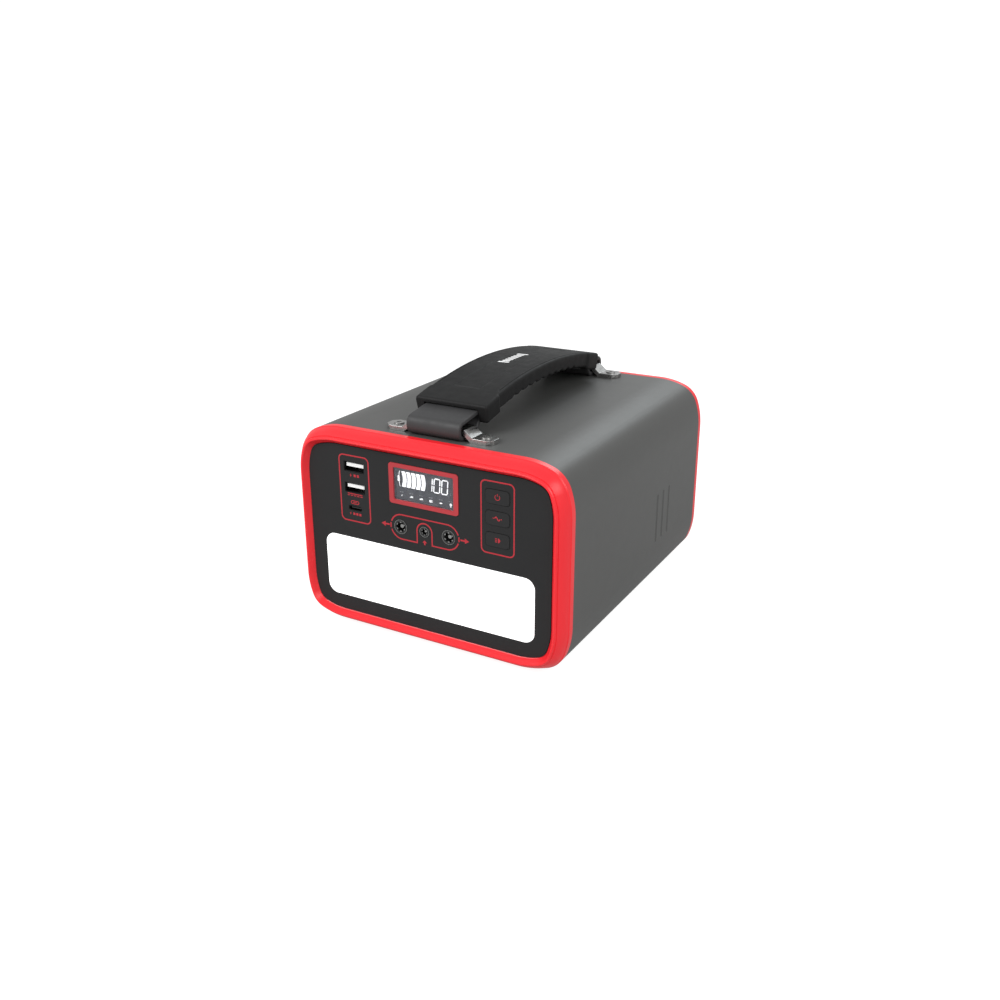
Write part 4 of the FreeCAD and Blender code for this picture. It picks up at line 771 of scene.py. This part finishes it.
def digit(lit, shown, x, z):
    """A slanted seven-segment digit whose lower left corner is at x, z."""
    half = DIGIT_HEIGHT / 2
    cut = SEGMENT / 2
    places = {    # each segment's start, and its direction across and up
        "a": (0, DIGIT_HEIGHT, 1, 0), "d": (0, 0, 1, 0),
        "f": (0, half, 0, 1), "b": (DIGIT_WIDTH, half, 0, 1),
        "e": (0, 0, 0, 1), "c": (DIGIT_WIDTH, 0, 0, 1),
    }
    for name in SEGMENTS_OF[shown]:
        left, low, across, up = places[name]
        length = DIGIT_WIDTH if across else half
        near, far = SEGMENT_GAP, length - SEGMENT_GAP
        hexagon = ((near, 0), (near + cut, cut), (far - cut, cut),
                   (far, 0), (far - cut, -cut), (near + cut, -cut))
        outline = []
        for along, aside in hexagon:
            point_x = left + across * along + up * aside
            point_z = low + up * along + across * aside
            outline.append((x + point_x + SLANT * point_z, z + point_z))
        draw_on_screen(lit, outline)


ICON_ROW, ICON_PITCH, FIRST_ICON = -6.5, 6.05, -14.1
ICON_SCALE = 0.72


def icon_dashes(faint):
    """Two faint dashes over each of the six status signs."""
    for index in range(6):
        x = FIRST_ICON + index * ICON_PITCH
        for part in (-0.75, 0.55):
            draw_on_screen(faint, bar(x + part, ICON_ROW + 1.9, 1.0, 0.4, 0.15))


def port_icon(lit, x):
    draw_on_screen(lit, bar(x, ICON_ROW - 0.1, 2.9 * ICON_SCALE, 0.85 * ICON_SCALE, 0.25))
    draw_on_screen(lit, bar(x + 0.4, ICON_ROW + 0.4, 1.5 * ICON_SCALE, 0.4 * ICON_SCALE, 0.1))


def plug_icon(lit, x):
    reach = 0.95 * ICON_SCALE
    face = x + 0.3
    draw_on_screen(lit, arc(x - 0.4, ICON_ROW, reach, 90, 270, 12)
                   + [(face, ICON_ROW - reach), (face, ICON_ROW + reach)])
    for side in (-1, 1):
        draw_on_screen(lit, bar(x + 0.7, ICON_ROW + side * 0.35, 0.7, 0.28, 0.1))


def socket_icon(lit, x):
    draw_on_screen(lit, arc(x, ICON_ROW, 0.62 * ICON_SCALE, 0, 350, 18))
    draw_on_screen(lit, bar(x, ICON_ROW, 2.6 * ICON_SCALE, 0.24, 0.1))


def lamp_icon(lit, x):
    draw_on_screen(lit, arc(x, ICON_ROW + 0.3, 0.95 * ICON_SCALE, -50, 230, 16))
    draw_on_screen(lit, bar(x, ICON_ROW - 0.8, 0.6, 0.9, 0.2))


def bolt_icon(lit, x):
    draw_on_screen(lit, bolt(x, ICON_ROW, 2.0 * ICON_SCALE))


def light_display():
    """The lit pictures of the display, and a faint open ring at the right end of its number."""
    lit, faint = Solid(), Solid()
    battery_picture(lit)
    for index, shown in enumerate("100"):
        digit(lit, shown, DIGITS_LEFT + DIGIT_PITCH * index, DIGITS_FOOT)
    icon_dashes(faint)
    for index, draw in enumerate((bolt_icon, port_icon, port_icon, plug_icon, socket_icon, lamp_icon)):
        draw(lit, FIRST_ICON + index * ICON_PITCH)
    ring = arc(16.3, -0.6, 0.5, 60, 300, 12)
    faint.strip(ring, 0.25, on_screen, SEGMENT_FRONT, SEGMENT_BACK)
    lit.build("display_segments", "case", LIT_WHITE)
    faint.build("display_faint_segments", "case", LIT_GREY)


# ---------------------------------------------------------------- grip

GRIP_RISE = 8.2              # crest above the ends of the top face
GRIP_HEIGHT = 8.8            # between the end blocks
BLOCK_EXTRA_HEIGHT = 1.5
MIDDLE_INSET = 0.9           # the middle is this much narrower on each side than the blocks
BLOCK_START, BLOCK_FULL = 55.6, 57.2
END_ROUND = 1.5              # how far an end's edges draw in, from above and below
END_ROUND_ASIDE = 0.6        # and from its sides
SHOULDER = 1.5               # radius between the top and a side
UNDER_ROUND = 1.3            # radius between a side and the underside
SIDE_TAPER = 0.2             # the underside is this much narrower on each side
PANEL_HALF, PANEL_END, PANEL_DEPTH = 7.6, 52.0, 0.35
PANEL_SLOPE, PANEL_FADE = 0.7, 0.9     # width of its slope at a side and at an end
GROOVE_INSET, GROOVE_HALF, GROOVE_DEPTH, GROOVE_END = 2.0, 0.5, 0.55, 51.0
GROOVE_FADE = 1.2
SCALLOP_PITCH, SCALLOP_DEPTH = 8.4, 1.3
SCALLOP_FADE, SCALLOP_END = 42.0, 46.0
MOUTH_HALF, MOUTH_ROOF, MOUTH_DEPTH = 16.9, 13.6, 16.0
MOUTH_OVERLAP = 5.0          # the cutter reaches this far past the grip's end
MOUTH_BELOW = 1.0            # and this far below the case's top
STATION_COUNT = 184
MARK_COUNT, MARK_PITCH, MARK_START = 8, 3.3, -7.4
MARK_ASIDE = -2.8            # from the grip's middle line
MARK_THICK, MARK_LEAN = 2.0, 1.0
MARK_TALL, MARK_TALL_END = 4.4, 6.4    # the first and the last bar are taller
MARK_PROUD, MARK_SUNK = 0.04, 0.03


class Grip:
    """Sections of the arched grip, square to its top face's arc."""

    def __init__(self):
        low, high = box("handle_grip")
        self.half_length, self.half_width, self.crest = high.y, high.x, high.z
        self.radius = (self.half_length ** 2 + GRIP_RISE ** 2) / (2 * GRIP_RISE)
        self.length = self.radius * math.asin(self.half_length / self.radius)

    def place(self, x, along, down):
        """A point x across, along the top arc from its crest and down square to it."""
        angle = along / self.radius
        reach = self.radius - down
        return (x, reach * math.sin(angle), self.crest - self.radius + reach * math.cos(angle))

    def top_relief(self, x, along):
        """How far the inset panel and the edge grooves lie below the top face."""
        across = abs(x)
        panel = (1 - smooth_step(across, PANEL_HALF, PANEL_HALF + PANEL_SLOPE)) \
            * (1 - smooth_step(abs(along), PANEL_END, PANEL_END + PANEL_FADE))
        groove_x = self.half_width - MIDDLE_INSET - GROOVE_INSET
        off_groove = min(1.0, abs(across - groove_x) / GROOVE_HALF)
        groove = (0.5 + 0.5 * math.cos(math.pi * off_groove)) \
            * (1 - smooth_step(abs(along), GROOVE_END, GROOVE_END + GROOVE_FADE))
        return PANEL_DEPTH * panel + GROOVE_DEPTH * groove

    def section(self, along):
        """Ring of (x, down) points: top from the middle outwards, side, underside, and back."""
        block = smooth_step(abs(along), BLOCK_START, BLOCK_FULL)
        into_end = max(0.0, abs(along) - (self.length - END_ROUND))
        inset = END_ROUND - math.sqrt(max(0.0, END_ROUND ** 2 - into_end ** 2))
        half = self.half_width - MIDDLE_INSET * (1 - block) - inset * END_ROUND_ASIDE / END_ROUND
        wave = abs(math.cos(math.pi * along / SCALLOP_PITCH))
        fade = 1 - smooth_step(abs(along), SCALLOP_FADE, SCALLOP_END)
        bottom = GRIP_HEIGHT + BLOCK_EXTRA_HEIGHT * block - SCALLOP_DEPTH * (1 - wave) * fade - inset
        groove_x = self.half_width - MIDDLE_INSET - GROOVE_INSET
        across = [0, 2.5, 5, 7]
        across += [PANEL_HALF + part for part in (0, 0.23, 0.47, PANEL_SLOPE)]
        across += [10, 13, 16]
        across += [groove_x + GROOVE_HALF * step / 3 for step in range(-3, 4)]
        half_ring = [(x, inset + self.top_relief(x, along)) for x in across]
        for angle in [math.pi / 2 * step / 6 for step in range(7)]:
            half_ring.append((half - SHOULDER + SHOULDER * math.sin(angle),
                              inset + SHOULDER - SHOULDER * math.cos(angle)))
        foot = half - SIDE_TAPER
        half_ring += [(half, inset + SHOULDER + 1.5), (half - SIDE_TAPER / 2, (inset + bottom) / 2),
                      (foot, bottom - UNDER_ROUND - 1)]
        for angle in [math.pi / 2 * step / 5 for step in range(6)]:
            half_ring.append((foot - UNDER_ROUND + UNDER_ROUND * math.cos(angle),
                              bottom - UNDER_ROUND + UNDER_ROUND * math.sin(angle)))
        half_ring += [(15, bottom), (8, bottom), (0, bottom)]
        other_half = [(-x, down) for x, down in reversed(half_ring[1:-1])]
        return half_ring + other_half

    def stations(self):
        """Places of the sections: even in the middle, closer where the end rounds off."""
        reach = self.length - END_ROUND
        even = [-reach + 2 * reach * step / STATION_COUNT for step in range(STATION_COUNT + 1)]
        rounding = [self.length - END_ROUND * (1 - math.sin(math.pi / 2 * step / 6))
                    for step in range(1, 7)]
        return [-place for place in reversed(rounding)] + even + rounding

    def body(self):
        solid = Solid()
        solid.loft([[self.place(x, along, down) for x, down in self.section(along)]
                    for along in self.stations()])
        return solid.build("grip", "handle", FINISHES["grip_rubber"], "grip_rubber", ["handle_grip"])


def cut_away(piece, name, low, high):
    """Cuts a box out of a piece."""
    cutter_mesh = bpy.data.meshes.new(name)
    shape = bmesh.new()
    bmesh.ops.create_cube(shape, size=1.0)
    for vertex in shape.verts:
        corner = [low[axis] if vertex.co[axis] < 0 else high[axis] for axis in range(3)]
        vertex.co = Vector(corner) * MM
    shape.to_mesh(cutter_mesh)
    shape.free()
    cutter = bpy.data.objects.new(name, cutter_mesh)
    bpy.context.scene.collection.objects.link(cutter)
    cut = piece.modifiers.new(name, "BOOLEAN")
    cut.operation = "DIFFERENCE"
    cut.solver = "EXACT"
    cut.object = cutter
    evaluated = piece.evaluated_get(bpy.context.evaluated_depsgraph_get())
    carved = bpy.data.meshes.new_from_object(evaluated)
    piece.modifiers.clear()
    piece.data = carved
    bpy.data.objects.remove(cutter)


def mark_grip(grip):
    """A plain row of slanted bars, printed on the grip's top."""
    mark = Solid()
    for index in range(MARK_COUNT):
        along = MARK_START + index * MARK_PITCH
        tall = MARK_TALL_END if index in (0, MARK_COUNT - 1) else MARK_TALL
        corners = [(MARK_ASIDE + side * tall / 2, along + end * MARK_THICK / 2 + MARK_LEAN * side / 2)
                   for side, end in ((-1, -1), (1, -1), (1, 1), (-1, 1))]
        mark.loft([[grip.place(x, place, level + grip.top_relief(x, place)) for x, place in corners]
                   for level in (-MARK_PROUD, MARK_SUNK)])
    mark.build("grip_mark", "handle", WHITE_INK)


def make_grip():
    """The grip with its two mouths, which the straps go into, and its mark."""
    grip = Grip()
    piece = grip.body()
    for side in (-1, 1):
        inner = side * (grip.half_length - MOUTH_DEPTH)
        outer = side * (grip.half_length + MOUTH_OVERLAP)
        cut_away(piece, "mouth", (-MOUTH_HALF, min(inner, outer), CASE_TOP - MOUTH_BELOW),
                 (MOUTH_HALF, max(inner, outer), CASE_TOP + MOUTH_ROOF))
    mark_grip(grip)


# ---------------------------------------------------------------- strap

STRAP_THICKNESS = 2.4
STRAP_EDGE = 0.8             # radius of its edges
LOOP_AXIS = 5.2              # height of the loop's round front above the case


def strap_route():
    """Side view of the strap, from its upper end in the grip, round the bar and back into the grip.

    Each point is (y, z): how far it lies from the bar towards the grip's middle, and above the case.
    """
    reach = 24.0                        # ends of the strap inside the grip
    radius, front = 3.75, -4.3          # the nose's round, and the place of its centre
    nose_rise, nose_power = 4.3, 0.8    # its upper quarter is taller and a little squarer
    upper = [(reach, 12.05), (19, 12.0), (14, 11.9), (11, 11.7), (8, 11.4), (5, 11.0), (2, 10.55),
             (0, 10.25), (-2, 9.95), (-3.4, 9.72)]
    nose = [(front + radius * math.cos(angle) * abs(math.cos(angle)) ** (nose_power - 1),
             LOOP_AXIS + nose_rise * math.sin(angle) ** nose_power)
            for angle in [math.radians(90 + 90 * step / 9) for step in range(1, 9)]]
    nose += arc(front, LOOP_AXIS, radius, 180, 270, 9)
    lower = [(-2, 1.46), (2, 1.46), (5.2, 1.5), (6.6, 1.75), (7.8, 2.4), (8.8, 3.3), (10.2, 4.9),
             (11.6, 6.5), (12.8, 7.9), (14.2, 8.9), (16, 9.35), (19, 9.5), (22, 9.55), (reach, 9.6)]
    return upper + nose + lower


def make_strap(end):
    """The strap at the front or the rear: a rounded section along the route round its bracket's bar."""
    node = end + "_strap_loop"
    low, high = box(node)
    side = -1 if low.y < 0 else 1
    bar_y = middle(end + "_handle_bracket").y
    route = strap_route()
    section = rounded_outline(0, 0, 2 * high.x, STRAP_THICKNESS, STRAP_EDGE)
    rings = []
    for index, (y, z) in enumerate(route):
        before, after = route[max(0, index - 1)], route[min(len(route) - 1, index + 1)]
        heading = (Vector(after) - Vector(before)).normalized()
        rings.append([(x, bar_y - side * (y - heading.y * up), CASE_TOP + z + heading.x * up)
                      for x, up in section])
    strap = Solid()
    strap.loft(rings)
    strap.build(end + "_strap", "handle", FINISHES["strap_rubber"], "strap_rubber", [node], sharp=50)


# ---------------------------------------------------------------- studio

VIEW_AZIMUTH, VIEW_ELEVATION = math.radians(29.27), math.radians(21.006)
VIEW_TARGET = Vector((0.04676, -0.0978, 0.0942))
VIEW_DISTANCE = 0.517
LENS = 37.49
SHIFT = (-0.0020, 0.0013)
SKY_LIGHT, SKY_SEEN = 0.62, 1.05
FLOOR_LIGHT, FLOOR_SEEN = 0.30, 0.90
FLOOR_REACH = 12.0
LIGHTS_AIM = Vector((0, 0, 0.06))
COOL_WHITE = (0.90, 0.97, 1.0)


def make_camera():
    camera = bpy.data.cameras.new("camera")
    camera.lens = LENS
    camera.sensor_width = 36.0
    camera.shift_x, camera.shift_y = SHIFT
    camera.clip_start = 0.01
    camera.clip_end = 50.0
    holder = bpy.data.objects.new("camera", camera)
    bpy.context.scene.collection.objects.link(holder)
    back = Vector((math.sin(VIEW_AZIMUTH) * math.cos(VIEW_ELEVATION),
                   -math.cos(VIEW_AZIMUTH) * math.cos(VIEW_ELEVATION), math.sin(VIEW_ELEVATION)))
    holder.location = VIEW_TARGET + back * VIEW_DISTANCE
    holder.rotation_mode = "QUATERNION"
    holder.rotation_quaternion = (-back).to_track_quat("-Z", "Y")
    bpy.context.scene.camera = holder


def soft_light(name, place, width, height, power, tint=(1, 1, 1)):
    lamp = bpy.data.lights.new(name, "AREA")
    lamp.color = tint
    lamp.shape = "RECTANGLE"
    lamp.size, lamp.size_y = width, height
    lamp.energy = power
    holder = bpy.data.objects.new(name, lamp)
    bpy.context.scene.collection.objects.link(holder)
    holder.location = place
    holder.rotation_mode = "QUATERNION"
    holder.rotation_quaternion = (LIGHTS_AIM - Vector(place)).to_track_quat("-Z", "Y")


def seen_or_lit(tree, lit, seen, socket):
    """Feeds a strength that is one value to the camera and another to everything it lights."""
    ray = tree.nodes.new("ShaderNodeLightPath")
    strength = tree.nodes.new("ShaderNodeMapRange")
    strength.inputs["To Min"].default_value = lit
    strength.inputs["To Max"].default_value = seen
    tree.links.new(ray.outputs["Is Camera Ray"], strength.inputs["Value"])
    tree.links.new(strength.outputs["Result"], socket)


def make_world():
    """White all round to the camera, and a softer white for lighting."""
    world = bpy.data.worlds.new("studio")
    world.use_nodes = True
    tree = world.node_tree
    background = tree.nodes["Background"]
    background.inputs["Color"].default_value = (1.0, 1.0, 1.0, 1.0)
    seen_or_lit(tree, SKY_LIGHT, SKY_SEEN, background.inputs["Strength"])
    bpy.context.scene.world = world


def make_floor():
    """Pale floor that runs into the background without throwing much light upwards."""
    mesh = bpy.data.meshes.new("floor")
    shape = bmesh.new()
    bmesh.ops.create_grid(shape, x_segments=1, y_segments=1, size=FLOOR_REACH)
    shape.to_mesh(mesh)
    shape.free()
    look = Finish("floor", Roughness=0.9)
    body = look.ramp(look.noise(3, 2), (0.3, 0.24, 0.24, 0.24), (0.7, 0.26, 0.26, 0.26))
    glow = look.ramp(look.noise(3, 2), (0.3, 0.99, 0.99, 0.99), (0.7, 1.0, 1.0, 1.0))
    look.drive("Base Color", body)
    look.drive("Emission Color", glow)
    seen_or_lit(look.tree, FLOOR_LIGHT, FLOOR_SEEN, look.shader.inputs["Emission Strength"])
    mesh.materials.append(look.material)
    floor = bpy.data.objects.new("floor", mesh)
    bpy.context.scene.collection.objects.link(floor)


def make_studio():
    bpy.context.scene.view_settings.view_transform = "Standard"
    make_world()
    make_floor()
    soft_light("key", (-0.7, -1.3, 1.2), 1.0, 0.8, 24.0)
    soft_light("right", (1.2, -0.35, 0.85), 0.9, 0.7, 8.5)
    soft_light("back", (0.0, 0.9, 0.78), 0.5, 0.35, 2.6, COOL_WHITE)


finish_cad_nodes()
round_edges(BRACKET_ROUNDING, "front_handle_bracket", "rear_handle_bracket")
line_flutes()
print_front_panel()
button_mark("power", power_sign)
button_mark("ac", wave_sign)
button_mark("lamp", lamp_sign)
light_jack("dc_out_left", OUTLET_BORE)
light_jack("dc_out_right", OUTLET_BORE)
light_jack("dc_in", INLET_BORE)
light_display()
make_grip()
make_strap("front")
make_strap("rear")
make_studio()
make_camera()
